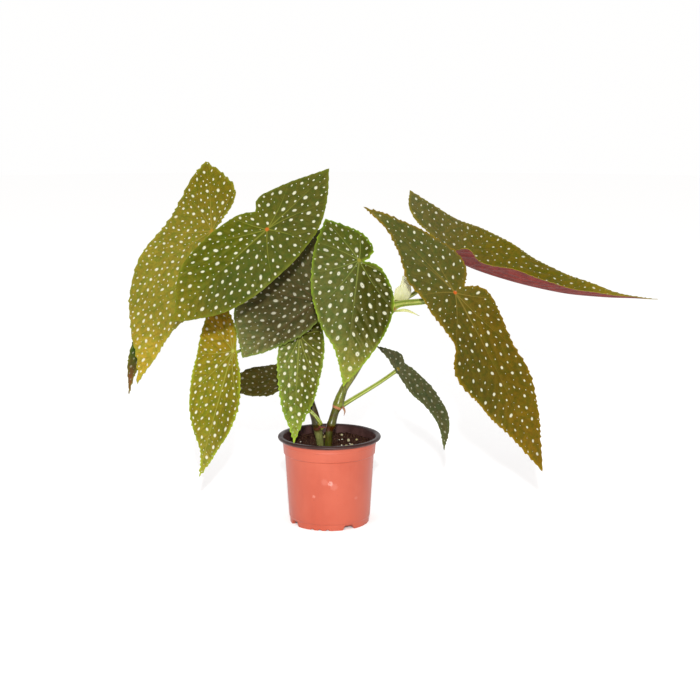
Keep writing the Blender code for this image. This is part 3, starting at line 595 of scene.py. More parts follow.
def vein_lines(leaf, outline):
    """Veins as flat lines with half-widths: the main ones from the stalk's seat, and the side ones."""
    edges = {name: smooth_curve([start, *leaf[name], end], 40)[:, :2] for name, start, end in (
        ("short_edge", leaf["notch"], leaf["tip"]), ("long_edge", leaf["tip"], leaf["lobe"]),
        ("lobe_edge", leaf["lobe"], leaf["notch"]))}
    main = [bow((0, 0), leaf["tip"], 0.02, 0.95, 0.22), bow((0, 0), leaf["lobe"], 0.06, 0.75, 0.2)]
    for edge, share in (("short_edge", 0.16), ("short_edge", 0.40), ("long_edge", 0.46),
                        ("long_edge", 0.66), ("long_edge", 0.84), ("lobe_edge", 0.45)):
        main.append(bow((0, 0), edges[edge][round(39 * share)], 0.16, 0.65, 0.12))
    runs = BRANCH_STEP * np.arange(BRANCH_STEPS)[:, None]
    side = []
    for index, (line, _) in enumerate(main):
        others = [other for other, _ in main[:index] + main[index + 1:]]
        length = np.linalg.norm(line[-1])
        first, pitch = (0.36, 15.0) if index == 0 else (0.30, 18.0)
        for reach in np.arange(first * length, 0.93 * length, pitch):
            spot = line[np.abs(np.linalg.norm(line, axis=1) - reach).argmin()]
            heading = unit(line[-1] - line[len(line) // 2])
            for turn in (BRANCH_TURN, -BRANCH_TURN):
                way = np.array([heading[0] * cos(turn) - heading[1] * sin(turn),
                                heading[0] * sin(turn) + heading[1] * cos(turn)])
                branch = spot + way * runs + heading * runs**2 * 0.006
                near = np.min([distance_to(other, branch) for other in others], axis=0)
                kept = inside(outline, branch) & ((near > 2.2) | (np.arange(BRANCH_STEPS) < 2))
                stop = BRANCH_STEPS if kept.all() else int(np.argmin(kept))
                if stop > 2:
                    side.append((branch[:stop], np.linspace(0.42, 0.16, stop)))
    return main, side


def bow(start, end, bulge, first, last):
    """A line that bows a little to its side, with its half-width falling from first to last."""
    start = np.array(start, float)
    end = np.array(end, float)
    run = end - start
    across = np.array([-run[1], run[0]]) * (1 if run[1] < 0 else -1) * np.sign(run[0] or 1)
    steps = np.linspace(0, 1, 40)[:, None]
    line = start + run * steps + across * bulge * steps * (1 - steps)
    return line, first + (last - first) * steps[:, 0] ** 0.7


def as_segments(lines):
    """The lines' segments: where they start, where they end and their half-widths."""
    starts = np.vstack([line[:-1] for line, _ in lines])
    ends = np.vstack([line[1:] for line, _ in lines])
    widths = np.concatenate([(w[:-1] + w[1:]) / 2 for _, w in lines])
    return starts, ends, widths


def across_line(segments, corners):
    """At each triangle's corners, how far they lie beside its nearest line, in half-widths."""
    starts, ends, widths = segments
    nearest, distance = segment_facts(starts, ends, corners.mean(axis=1))
    run = ends[nearest] - starts[nearest]
    run /= np.maximum(np.linalg.norm(run, axis=1), 1e-9)[:, None]
    offset = corners - starts[nearest][:, None]
    sideways = run[:, None, 0] * offset[..., 1] - run[:, None, 1] * offset[..., 0]
    middle = sideways.mean(axis=1)
    beyond = np.maximum(distance - np.abs(middle), 0)
    wide = widths[nearest][:, None]
    return sideways / wide + np.sign(middle)[:, None] * (beyond[:, None] / wide)


def scatter_spots(leaf, outline, main, look, rng):
    """Spots between the veins: large ones inside, smaller and closer ones towards the margin."""
    low, high = outline.min(axis=0), outline.max(axis=0)
    starts, ends, _ = as_segments(main)
    size, spread = look["spot_size"], look["spread"]
    kept = []
    for smallest, largest, margin, spacing, tries in (
            (2.2, 3.2, 8.0, 7.2, 1000), (1.4, 2.1, 4.4, 4.6, 1800), (0.55, 1.1, 2.4, 3.4, 1800)):
        spots = rng.uniform(low, high, (tries, 2))
        radii = rng.uniform(smallest, largest, tries) * size
        clear = inside(outline, spots)
        clear[clear] &= distance_to(outline, spots[clear]) > margin * size + 0.3 * radii[clear]
        _, beside = segment_facts(starts, ends, spots)
        clear &= beside > radii + 0.5
        for spot, radius in zip(spots[clear], radii[clear]):
            if all(np.hypot(*(spot - other)) > radius + other_radius + spacing * spread
                   for other, other_radius in kept):
                kept.append((spot, radius))
    centres = np.array([spot for spot, _ in kept])
    radii = np.array([radius for _, radius in kept])
    angles = np.arctan2(centres[:, 1], centres[:, 0]) + rng.normal(0, 0.3, len(kept))
    stretch = rng.uniform(1.15, 1.95, len(kept))
    return centres, radii, angles, stretch, rng.uniform(0, 1, len(kept))


def spot_corners(spots, corners):
    """At each triangle's corners, the offset from its nearest spot in radii, and the spot's kind."""
    centres, radii, angles, stretch, kinds = spots
    middles = corners.mean(axis=1)
    nearest = []
    for part in in_parts(middles):
        away = np.linalg.norm(part[:, None] - centres[None], axis=2) - radii
        nearest.append(away.argmin(axis=1))
    nearest = np.concatenate(nearest)
    offset = corners - centres[nearest][:, None]
    turn = -angles[nearest][:, None]
    across = offset[..., 0] * np.cos(turn) - offset[..., 1] * np.sin(turn)
    beside = offset[..., 0] * np.sin(turn) + offset[..., 1] * np.cos(turn)
    wide = np.sqrt(stretch[nearest])[:, None] * radii[nearest][:, None]
    narrow = radii[nearest][:, None] / np.sqrt(stretch[nearest])[:, None]
    kinds = np.broadcast_to(kinds[nearest][:, None], across.shape)
    return np.stack([across / wide, beside / narrow, kinds], axis=2)


def point_normals(points, triangles):
    """The way that a net of triangles faces at each of its points."""
    corners = points[triangles]
    across = np.cross(corners[:, 1] - corners[:, 0], corners[:, 2] - corners[:, 0])
    normals = np.zeros_like(points)
    for corner in range(3):
        np.add.at(normals, triangles[:, corner], across)
    return normals / np.linalg.norm(normals, axis=1)[:, None]


def edge_wave(leaf, smooth, share, places):
    """How far the margin's waves lift each place; they fade inwards and round the stalk's seat."""
    height, waves = leaf["wave"]
    phase = 2 * pi * waves * share
    ripple = height * np.sin(phase + 0.9) + 0.4 * height * np.sin(2.3 * phase)
    lifts = []
    for part in in_parts(places):
        away = np.linalg.norm(part[:, None] - smooth[None], axis=2)
        nearest = away.min(axis=1)
        weight = np.exp(-(away - nearest[:, None]) / 3.0)
        lifts.append((weight @ ripple) / weight.sum(axis=1) * np.exp(-2 * nearest / RIPPLE_REACH))
    settled = 1 - np.exp(-(np.linalg.norm(places, axis=1) / SEAT_REACH) ** 2)
    return np.concatenate(lifts) * settled


def make_blade(number, name, leaf, blades):
    """A fine blade in the place of the CAD one: toothed, waved, veined, thinner at its margin."""
    rng = np.random.default_rng(blades.seed + number)
    look = LOOKS[name]
    longer, higher = look["teeth"]
    smooth, share, outline = blade_outline(
        leaf, 1.15, rng, longer * blades.tooth_pitch / MM, higher * blades.tooth_height / MM)
    places, triangles = blade_net(outline, blades.net_spacing / MM)
    main, side = vein_lines(leaf, outline)
    main_segments = as_segments(main)
    side_segments = as_segments(side)
    from_edge = distance_to(outline, places)
    from_edge[:len(outline)] = 0
    _, from_main = segment_facts(main_segments[0], main_segments[1], places)
    _, from_side = segment_facts(side_segments[0], side_segments[1], places)

    quilt = blades.quilting / MM * (1 - np.exp(-(np.minimum(from_main, from_side * 1.6) / 4.0) ** 2))
    groove = -0.22 * np.exp(-(from_main / 1.1) ** 2)
    lifts = edge_wave(leaf, smooth, share, places)
    middle = bend(leaf, places[:, 0], places[:, 1])
    normals = point_normals(middle, triangles)
    middle = middle + normals * (lifts + quilt * np.clip(from_edge / 4, 0, 1) + groove)[:, None]
    normals = point_normals(middle, triangles)
    thin = np.clip(from_edge / 3.0, 0, 1)
    half = ((blades.margin_thickness + (blades.thickness - blades.margin_thickness) * thin) / MM / 2)[:, None]
    upper = middle + normals * half
    lower = middle - normals * half

    count = len(places)
    outer = len(outline)
    ring = np.arange(outer)
    after = np.roll(ring, -1)
    rim = np.column_stack([ring, ring + count, after + count, after])
    if signed_area(outline) < 0:
        rim = rim[:, ::-1]
    faces = triangles.tolist() + (triangles[:, [0, 2, 1]] + count).tolist() + rim.tolist()
    piece = "leaf_blade" + name[-3:]
    mesh = bpy.data.meshes.new(piece)
    mesh.from_pydata((np.vstack([upper, lower]) * MM).tolist(), [], faces)

    corners = places[triangles]
    spots = spot_corners(scatter_spots(leaf, outline, main, look, rng), corners)
    main_across = across_line(main_segments, corners)
    side_across = across_line(side_segments, corners)
    under = [0, 2, 1]
    rim_far = np.full(rim.size, 9.0)
    store(mesh, "spot", "FLOAT_VECTOR", "CORNER", np.vstack([
        spots.reshape(-1, 3), spots[:, under].reshape(-1, 3), np.full((rim.size, 3), 9.0)]))
    for label, values in (("main_vein", main_across), ("side_vein", side_across)):
        store(mesh, label, "FLOAT", "CORNER",
              np.concatenate([values.ravel(), values[:, under].ravel(), rim_far]))
    across = leaf_axes(leaf)[1][0]
    for label, values in (("from_edge", from_edge), ("reach", places[:, 0] / leaf["tip"][0]),
                          ("half", np.clip(0.5 - np.sign(across) * places[:, 1] / 14, 0, 1))):
        store(mesh, label, "FLOAT", "POINT", np.concatenate([values, values]))
    layer = mesh.uv_layers.new(name="flat")
    every = np.array([vertex % count for face in faces for vertex in face])
    layer.data.foreach_set("uv", (places[every] / SHEET).ravel())

    mesh.materials.append(upper_leaf_material(name, look, blades))
    mesh.materials.append(lower_leaf_material(name, look, blades))
    slots = np.concatenate([np.zeros(len(triangles)), np.ones(len(triangles)), np.zeros(outer)])
    mesh.polygons.foreach_set("material_index", slots.astype(int))
    mesh.shade_smooth()
    mesh.set_sharp_from_angle(angle=radians(50))
    mesh.update()
    return dress(piece, mesh, "leaf_blade", name)


def store(mesh, label, kind, domain, values):
    """Keeps values on a mesh as a named attribute."""
    attribute = mesh.attributes.new(label, kind, domain)
    attribute.data.foreach_set("vector" if kind == "FLOAT_VECTOR" else "value", np.ravel(values))


def dress(name, mesh, slot, *nodes):
    """Puts a finished mesh in the scene as a piece that rides on the plant and stands for its nodes."""
    mesh.name = name
    made = bpy.data.objects.new(name, mesh)
    bpy.context.scene.collection.objects.link(made)
    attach(made, "root")
    if nodes:
        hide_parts(*nodes)
    return made


def upper_leaf_material(name, look, blades):
    """Living begonia leaf, upper side: its waxy skin gives a satin sheen, its silvery spots are
    pockets of air under the skin, and its thin toothed margin is paler, partly in its own colour and
    partly by painted light shining through the thin edge. Painted shade also parts the colours of its
    two halves at the fold, darkens the valleys along its side veins and dims the spots of a leaf in
    shade. The skin's cells are too fine to show, so they are drawn 0.6 mm wide."""
    right, left = (hex_colour(code) for code in look["halves"])
    made, tree, surface = start_material("waxy_leaf_upper_" + name[-2:], 0.42, blades.sheen,
                                         (1.0, 0.92, 0.42, 1.0))
    flat = add(tree, "ShaderNodeUVMap", out=0, uv_map="flat")
    half, reach, from_edge, main, side = (
        add(tree, "ShaderNodeAttribute", out="Fac", attribute_name=label)
        for label in ("half", "reach", "from_edge", "main_vein", "side_vein"))
    broad, patch, mottle, cells, ragged = (
        add(tree, "ShaderNodeTexNoise", {"Vector": flat, "Scale": SHEET / size, "Detail": detail}, 0)
        for size, detail in ((20.0, 2.0), (7.143, 3.0), (2.222, 4.0), (0.625, 2.0), (9.091, 3.0)))
    from_seat = add(tree, "ShaderNodeVectorMath", {0: flat}, "Value", operation="LENGTH")
    main = add(tree, "ShaderNodeMath", {0: main}, 0, operation="ABSOLUTE")
    side = add(tree, "ShaderNodeMath", {0: side}, 0, operation="ABSOLUTE")
    ragged_edge = add(tree, "ShaderNodeMath", {0: ragged, 1: 4.0, 2: from_edge}, 0,
                      operation="MULTIPLY_ADD")
    spot = add(tree, "ShaderNodeAttribute", out="Vector", attribute_name="spot")
    spot = add(tree, "ShaderNodeSeparateXYZ", {0: spot}).outputs
    level = add(tree, "ShaderNodeCombineXYZ", {0: spot[0], 1: spot[1]}, 0)
    out = add(tree, "ShaderNodeVectorMath", {0: level}, "Value", operation="LENGTH")
    out = add(tree, "ShaderNodeMath", {0: cells, 1: 0.95, 2: out}, 0, operation="MULTIPLY_ADD")

    masks = {}
    for label, value, low, high, first, last in (
            ("seat_end", reach, -0.30, 0.25, 0.85, 0.0), ("tip_end", reach, 0.50, 1.0, 0.0, 0.9),
            ("clouds", broad, 0.36, 0.66, 0.0, 0.40), ("mottle", mottle, 0.42, 0.64, 0.0, 0.38),
            ("greener", patch, 0.42, 0.62, 0.0, 0.85), ("grain", cells, 0.35, 0.70, 0.0, 0.45),
            ("side_line", side, 0.3, 1.6, 0.32 * look["vein_share"], 0.0),
            ("valley", side, 0.4, 4.2, look["valleys"], 0.0),
            ("main_line", main, 0.5, 1.6, 1.0, 0.0),
            ("vein_strength", from_seat, 0.02, 0.9, 0.85, look["vein_share"] * 0.75),
            # The wide pale band along the margin is partly the margin's own paler colour, partly painted
            # light shining through the thin edge
            ("seat", from_seat, 0.012, 0.030, 0.85, 0.0), ("pale_and_backlit_edge", ragged_edge, 1.2, 6.5, 0.42, 0.0),
            ("margin", ragged_edge, 1.7, 3.1, 0.75, 0.0), ("disc", out, 1.06, 1.70, 1.0, 0.0),
            ("core", out, 0.62, 0.92, look["heart"], 0.0), ("some", spot[2], 0.30, 0.5, 0.0, 1.0),
            ("gloss", mottle, 0.3, 0.7, 0.36, 0.50)):
        masks[label] = add(tree, "ShaderNodeMapRange", {
            "Value": value, "From Min": low, "From Max": high, "To Min": first, "To Max": last}, 0,
            interpolation_type="SMOOTHSTEP")
    main_line = add(tree, "ShaderNodeMath", {0: masks["main_line"], 1: masks["vein_strength"]}, 0,
                    operation="MULTIPLY")
    heart = add(tree, "ShaderNodeMath", {0: masks["core"], 1: masks["some"]}, 0, operation="MULTIPLY")

    # The two halves' colours are partly the leaf's own and partly painted shade: each holds the light that
    # its side of the fold catches
    colour = add(tree, "ShaderNodeMix", {"Factor_Float": half, "A_Color": right, "B_Color": left}, 2,
                 data_type="RGBA")
    for share, layer, kind in (
            (masks["seat_end"], hex_colour(look["ends"][0]), "MIX"),
            (masks["tip_end"], hex_colour(look["ends"][1]), "MIX"),
            (masks["clouds"], (0.66, 0.66, 0.60, 1.0), "MULTIPLY"),
            (masks["mottle"], (0.62, 0.64, 0.60, 1.0), "MULTIPLY"),
            (masks["greener"], (0.70, 0.92, 0.90, 1.0), "MULTIPLY"),
            (masks["grain"], (0.62, 0.62, 0.62, 1.0), "MULTIPLY"),
            # Painted shade: the valleys along the side veins are darkened, where the blade's relief would lie
            # in shade
            (masks["valley"], (0.60, 0.55, 0.50, 1.0), "MULTIPLY"),
            (masks["side_line"], hex_colour(look["veins"]), "MIX"),
            (main_line, hex_colour(look["veins"]), "MIX"),
            (masks["seat"], hex_colour(look["seat"]), "MIX"),
            (masks["pale_and_backlit_edge"], hex_colour(look["margin"]), "MIX"),
            (masks["margin"], hex_colour(look["margin"]), "MIX")):
        colour = add(tree, "ShaderNodeMix", {"Factor_Float": share, "A_Color": colour, "B_Color": layer}, 2,
                     data_type="RGBA", blend_type=kind)
    # The spots are dimmed towards the leaf's colour, most on the leaves that lie in shade: partly their own
    # dullness, partly painted shade
    pale = add(tree, "ShaderNodeMix", {"Factor_Float": look["dimmed"], "A_Color": tuple(blades.spots),
                                       "B_Color": colour}, 2, data_type="RGBA")
    pale = add(tree, "ShaderNodeMix", {"Factor_Float": heart, "A_Color": pale, "B_Color": colour}, 2,
               data_type="RGBA")
    colour = add(tree, "ShaderNodeMix", {"Factor_Float": masks["disc"], "A_Color": colour,
                                         "B_Color": pale}, 2, data_type="RGBA")

    bump = add(tree, "ShaderNodeMath", {0: cells, 1: 0.6, 2: masks["disc"]}, 0, operation="MULTIPLY_ADD")
    relief = add(tree, "ShaderNodeBump", {"Height": bump, "Distance": 0.0002, "Strength": 0.45}, 0)
    cover(tree, surface, colour, relief, masks["gloss"])
    return made


def lower_leaf_material(name, look, blades):
    """Living begonia leaf, underside: dull crimson, with fine raised veins of nearly its own colour."""
    made, tree, surface = start_material("crimson_leaf_under_" + name[-2:], 0.5, blades.sheen,
                                         (1.0, 0.60, 0.55, 1.0))
    flat = add(tree, "ShaderNodeUVMap", out=0, uv_map="flat")
    from_edge, main, side = (add(tree, "ShaderNodeAttribute", out="Fac", attribute_name=label)
                             for label in ("from_edge", "main_vein", "side_vein"))
    broad, cells = (add(tree, "ShaderNodeTexNoise", {"Vector": flat, "Scale": SHEET / size, "Detail": 4.0}, 0)
                    for size in (11.11, 0.8333))
    main = add(tree, "ShaderNodeMath", {0: main}, 0, operation="ABSOLUTE")
    side = add(tree, "ShaderNodeMath", {0: side}, 0, operation="ABSOLUTE")
    masks = {}
    for label, value, low, high, first, last in (
            ("clouds", broad, 0.38, 0.66, 0.0, 0.7), ("mottle", cells, 0.4, 0.66, 0.0, 0.35),
            ("side_line", side, 0.5, 2.6, 0.30, 0.0), ("main_line", main, 0.6, 1.9, 0.55, 0.0),
            ("margin", from_edge, 0.2, 1.4, 0.6, 0.0)):
        masks[label] = add(tree, "ShaderNodeMapRange", {
            "Value": value, "From Min": low, "From Max": high, "To Min": first, "To Max": last}, 0,
            interpolation_type="SMOOTHSTEP")
    colour = tuple(blades.underside)
    for share, layer in (("clouds", "#6E3534"), ("mottle", "#8E4E46"), ("side_line", "#9A625C"),
                         ("main_line", "#A4706A"), ("margin", look["margin"])):
        colour = add(tree, "ShaderNodeMix", {"Factor_Float": masks[share], "A_Color": colour,
                                             "B_Color": hex_colour(layer)}, 2, data_type="RGBA")
    height = add(tree, "ShaderNodeMath", {0: masks["side_line"], 1: 3.0, 2: cells}, 0,
                 operation="MULTIPLY_ADD")
    relief = add(tree, "ShaderNodeBump", {"Height": height, "Distance": 0.0002, "Strength": 0.6}, 0)
    cover(tree, surface, colour, relief)
    return made


# Canes and stalks: a ribbed ring swept along a line of points

def stem_tree():
    """Sweeps a ring along the line it is given; the points' own radius sizes the ring."""
    tree, given = start_tree("swept_stem", (
        ("Line", "Geometry"), ("Sides", "Int"), ("Ribs", "Int"), ("Rib depth", "Float"),
        ("Finish", "Material")), "Stem")
    ring = add(tree, "GeometryNodeCurvePrimitiveCircle", {"Resolution": given["Sides"], "Radius": 1.0}, 0)
    place = add(tree, "GeometryNodeInputPosition", out=0)
    parts = add(tree, "ShaderNodeSeparateXYZ", {0: place}).outputs
    angle = add(tree, "ShaderNodeMath", {0: parts[1], 1: parts[0]}, 0, operation="ARCTAN2")
    angle = add(tree, "ShaderNodeMath", {0: angle, 1: given["Ribs"]}, 0, operation="MULTIPLY")
    wave = add(tree, "ShaderNodeMath", {0: angle}, 0, operation="COSINE")
    grow = add(tree, "ShaderNodeMath", {0: wave, 1: given["Rib depth"], 2: 1.0}, 0, operation="MULTIPLY_ADD")
    ribbed = add(tree, "ShaderNodeVectorMath", {0: place, "Scale": grow}, 0, operation="SCALE")
    marked = add(tree, "GeometryNodeStoreNamedAttribute", {
        "Geometry": ring, "Name": "spoke", "Value": place}, 0, data_type="FLOAT_VECTOR", domain="POINT")
    shaped = add(tree, "GeometryNodeSetPosition", {"Geometry": marked, "Position": ribbed}, 0)
    curve = add(tree, "GeometryNodeMeshToCurve", {0: given["Line"]}, 0)
    radius = add(tree, "GeometryNodeInputNamedAttribute", {"Name": "stem_radius"}, 0, data_type="FLOAT")
    swept = add(tree, "GeometryNodeCurveToMesh", {
        "Curve": curve, "Profile Curve": shaped, "Scale": radius, "Fill Caps": True}, 0)
    smooth = add(tree, "GeometryNodeSetShadeSmooth", {"Geometry": swept}, 0)
    return end_tree(tree, smooth, given["Finish"])


def run_tree(tree, carrier_mesh, values):
    """Runs a geometry tree on a carrier mesh, and returns the result as a plain mesh."""
    carrier = bpy.data.objects.new("carrier", carrier_mesh)
    bpy.context.scene.collection.objects.link(carrier)
    step = carrier.modifiers.new(tree.name, "NODES")
    step.node_group = tree
    for item in tree.interface.items_tree:
        if item.in_out == "INPUT" and item.name in values:
            step[item.identifier] = values[item.name]
    graph = bpy.context.evaluated_depsgraph_get()
    result = bpy.data.meshes.new_from_object(carrier.evaluated_get(graph))
    bpy.data.objects.remove(carrier)
    bpy.data.meshes.remove(carrier_mesh)
    if not len(result.polygons):
        raise RuntimeError(tree.name + " made nothing")
    return result


def line_mesh(path, radii, marks):
    """A line of points that carries its radius and its marks for the swept stem."""
    mesh = bpy.data.meshes.new("line")
    mesh.from_pydata((np.array(path) * MM).tolist(), [(i, i + 1) for i in range(len(path) - 1)], [])
    store(mesh, "stem_radius", "FLOAT", "POINT", np.array(radii) * MM)
    for label, values in marks.items():
        store(mesh, label, "FLOAT", "POINT", values)
    return mesh


def cane_material(name, cane):
    """Living cane skin: smooth and slightly glossy, green with brown mottling, a scar round each
    node where a leaf's stipules stood, and painted shade in dark brown down one side."""
    made, tree, surface = start_material("smooth_cane_skin_" + name[5:], 0.26, 0.28)
    place = add(tree, "ShaderNodeTexCoord", out="Object")
    height, ring = (add(tree, "ShaderNodeAttribute", out="Fac", attribute_name=label)
                    for label in ("height", "ring"))
    stretched = add(tree, "ShaderNodeMapping", {"Vector": place, "Scale": (1.0, 1.0, 0.22)}, 0)
    streak, patch = (
        add(tree, "ShaderNodeTexNoise", {"Vector": vector, "Scale": 1 / (size * MM), "Detail": detail}, 0)
        for vector, size, detail in ((stretched, 1.667, 3.0), (place, 6.667, 4.0)))
    # Painted shade: one side of the cane, where its rings' spokes point along +X, is laid over with dark
    # brown
    shaded_side = add(tree, "ShaderNodeAttribute", out="Vector", attribute_name="spoke")
    shaded_side = add(tree, "ShaderNodeSeparateXYZ", {0: shaded_side}, 0)
    wander = 9.0  # Millimetres that the borders between the colours run up and down
    uneven = add(tree, "ShaderNodeMath", {0: patch, 1: wander, 2: height}, 0, operation="MULTIPLY_ADD")
    colour = lay_over(tree, hex_colour(cane["foot"]), [
        (uneven, low + wander / 2, high + wander / 2, 0.0, 1.0, code)
        for low, high, code in cane["turns"]] + [
        (streak, 0.42, 0.62, 0.0, 0.45, "#A0A070", "MULTIPLY"), (patch, 0.50, 0.68, 0.0, 0.4, "#5A3422"),
        (shaded_side, 0.45, 1.0, 0.0, 0.5, "#3E2C16"), (ring, 0.30, 0.80, 0.0, 0.9, cane["ring"])])
    rough = add(tree, "ShaderNodeMapRange", {"Value": ring, "From Min": 0.2, "From Max": 0.9,
                                             "To Min": 0.28, "To Max": 0.6}, 0)
    relief = add(tree, "ShaderNodeBump", {"Height": streak, "Distance": 0.0003, "Strength": 0.3}, 0)
    cover(tree, surface, colour, relief, rough)
    return made


def make_cane(name, canes, tree):
    """A round cane that swells at its nodes, with scars, a rounded top and a foot deep in the soil."""
    cane = CANES[name]
    line = smooth_curve(cane["path"], round(curve_length([point[:3] for point in cane["path"]])))
    heights = line[:, 2]
    bulge = np.zeros(len(line))
    scar = np.zeros(len(line))
    for node in cane["nodes"]:
        bulge = np.maximum(bulge, np.exp(-((heights - node) / NODE_REACH) ** 2))
    for node in cane["rings"]:
        scar = np.maximum(scar, np.exp(-((heights - node) / SCAR_REACH) ** 2))
    radii = line[:, 3] * (1 + NODE_SWELL * bulge) + SCAR_HEIGHT * scar
    buried = np.arange(CANE_BURIED, line[0, 2], CANE_STEP)
    foot = np.column_stack([np.full(len(buried), line[0, 0]), np.full(len(buried), line[0, 1]), buried])
    ahead = unit(line[-1, :3] - line[-2, :3])
    turns = np.radians([25, 50, 72, 88])  # The rings of the rounded top, from its side to its middle
    cap = line[-1, :3] + ahead * (np.sin(turns) * radii[-1] * 0.6)[:, None] - ahead * radii[-1] * 0.6
    path = np.vstack([foot, line[:-2, :3], cap])
    radii = np.concatenate([np.full(len(foot), radii[0]), radii[:-2], radii[-1] * np.cos(turns)])
    scar = np.concatenate([np.zeros(len(foot)), scar[:-2], np.zeros(len(cap))])
    mesh = run_tree(tree, line_mesh(path, radii, {"ring": scar, "height": path[:, 2]}), {
        "Sides": canes.sides, "Ribs": 3, "Rib depth": 0.015, "Finish": cane_material(name, cane)})
    return dress(name + "_skin", mesh, "cane", name)


def stalk_material(stalks):
    """Living leaf stalk: smooth and juicy, reddish at its joints, and striped lengthwise by painted shade
    in the grooves between its ribs.
    """
    made, tree, surface = start_material("ribbed_leaf_stalk", 0.38, 0.3)
    spoke = add(tree, "ShaderNodeAttribute", out="Vector", attribute_name="spoke")
    joint = add(tree, "ShaderNodeAttribute", out="Fac", attribute_name="joint")
    parts = add(tree, "ShaderNodeSeparateXYZ", {0: spoke}).outputs
    angle = add(tree, "ShaderNodeMath", {0: parts[1], 1: parts[0]}, 0, operation="ARCTAN2")
    turn = add(tree, "ShaderNodeMath", {0: angle, 1: float(stalks.ribs)}, 0, operation="MULTIPLY")
    stripe = add(tree, "ShaderNodeMath", {0: turn}, 0, operation="COSINE")
    place = add(tree, "ShaderNodeTexCoord", out="Object")
    patch = add(tree, "ShaderNodeTexNoise", {"Vector": place, "Scale": 1 / (6.25 * MM), "Detail": 3.0}, 0)
    colour = lay_over(tree, tuple(stalks.colour), (
        # Painted shade: the grooves between the ribs are laid over with a darker green
        (stripe, -0.45, 0.35, 0.9, 0.0, "#7C9428"), (patch, 0.5, 0.7, 0.0, 0.4, "#84802F"),
        (joint, 0.45, 1.0, 0.0, 0.8, "#B4552F")))
    relief = add(tree, "ShaderNodeBump", {"Height": patch, "Distance": 0.0002, "Strength": 0.3}, 0)
    cover(tree, surface, colour, relief)
    return made


def make_stalk(name, leaf, stalks, tree, finish):
    """A leaf stalk that flares where it leaves the cane and swells where it meets the blade."""
    _, start, middle, radius = leaf["stalk"]
    away = -leaf_axes(leaf)[2]
    seat = np.array(leaf["at"], float) + away * (BLADE / 2 - 0.1)
    points = [start, *middle, tuple(seat + away * 7), tuple(seat)]
    length = curve_length(points)
    count = max(24, round(length / 1.2))
    path = smooth_curve(points, count)
    along = np.linspace(0, 1, count)
    knob = np.exp(-((along - 1.0) / 0.10) ** 2)
    flare = np.exp(-(along * length / 7.0) ** 2)
    radii = radius * (1.12 - 0.24 * along) + (KNOB_RADIUS - radius) * knob + 0.3 * radius * flare
    joint = np.maximum(np.exp(-((1 - along) * length / 4.0) ** 2), 0.85 * flare)
    mesh = run_tree(tree, line_mesh(path, radii, {"joint": joint}), {
        "Sides": stalks.sides, "Ribs": stalks.ribs, "Rib depth": stalks.rib_depth, "Finish": finish})
    return dress("leaf_stalk" + name[-3:], mesh, "stalk", name.replace("leaf", "petiole"))


# Stipules and the bud

def scale_material(name, pale, dark):
    """Papery plant scale: dry and thin, with some thirty lengthwise fibres across its width, and light
    that soaks through."""
    made, tree, surface = start_material("papery_scale_" + name[-1], 0.6)
    flat = add(tree, "ShaderNodeUVMap", out=0, uv_map="flat")
    fibres = add(tree, "ShaderNodeMapping", {"Vector": flat, "Scale": (2.0, 30.0, 1.0)}, 0)
    streak = add(tree, "ShaderNodeTexNoise", {"Vector": fibres, "Scale": 1.0, "Detail": 4.0}, 0)
    reach = add(tree, "ShaderNodeSeparateXYZ", {0: flat}, 0)
    colour = lay_over(tree, hex_colour(pale), (
        (streak, 0.38, 0.72, 0.0, 0.55, dark), (reach, 0.0, 0.45, 0.8, 0.0, dark)), "LINEAR")
    relief = add(tree, "ShaderNodeBump", {"Height": streak, "Distance": 0.0003, "Strength": 0.4}, 0)
    cover(tree, surface, colour, relief)
    surface.inputs["Subsurface Weight"].default_value = 0.25
    surface.inputs["Subsurface Radius"].default_value = (0.004, 0.004, 0.002)
    return made


def make_scale(name, scales):
    """A thin pointed scale: a cupped sheet with a wavy edge, given its wall by Solidify."""
    points, width, cupped, pale, dark = STIPULES[name]
    rings, columns = 26, 13
    path = smooth_curve(points, rings)
    tangents = np.gradient(path, axis=0)
    front = np.array((0.25, -0.95, 0.1))
    corners, flat = [], []
    for index, (place, tangent) in enumerate(zip(path, tangents)):
        tangent = unit(tangent)
        out = unit(front - tangent * (front @ tangent))
        side = np.cross(tangent, out)
        part = index / (rings - 1)
        half = width / 2 * max(0.04, (1 - part**2.2) * min(1.0, 0.4 + 1.3 * part))
        for column in range(columns):
            across = column / (columns - 1) * 2 - 1
            dip = cupped * half * across**2 + 0.05 * width * sin(9 * part + 2 * across) * part
            corners.append(place + side * half * across - out * dip)
            flat.append((part, across / 2 + 0.5))
    faces = [(r * columns + c, r * columns + c + 1, (r + 1) * columns + c + 1, (r + 1) * columns + c)
             for r in range(rings - 1) for c in range(columns - 1)]
    mesh = bpy.data.meshes.new(name)
    mesh.from_pydata((np.array(corners) * MM).tolist(), [], faces)
    layer = mesh.uv_layers.new(name="flat")
    every = np.array([vertex for face in faces for vertex in face])
    layer.data.foreach_set("uv", np.array(flat)[every].ravel())
    mesh.shade_smooth()
    carrier = bpy.data.objects.new("carrier", mesh)
    bpy.context.scene.collection.objects.link(carrier)
    wall = carrier.modifiers.new("wall", "SOLIDIFY")
    wall.thickness = scales.thickness
    wall.offset = 0.0
    graph = bpy.context.evaluated_depsgraph_get()
    result = bpy.data.meshes.new_from_object(carrier.evaluated_get(graph))
    bpy.data.objects.remove(carrier)
    result.materials.append(scale_material(name, pale, dark))
    return dress(name.replace("stipule", "papery_scale"), result, "stipule", name)


# The pot

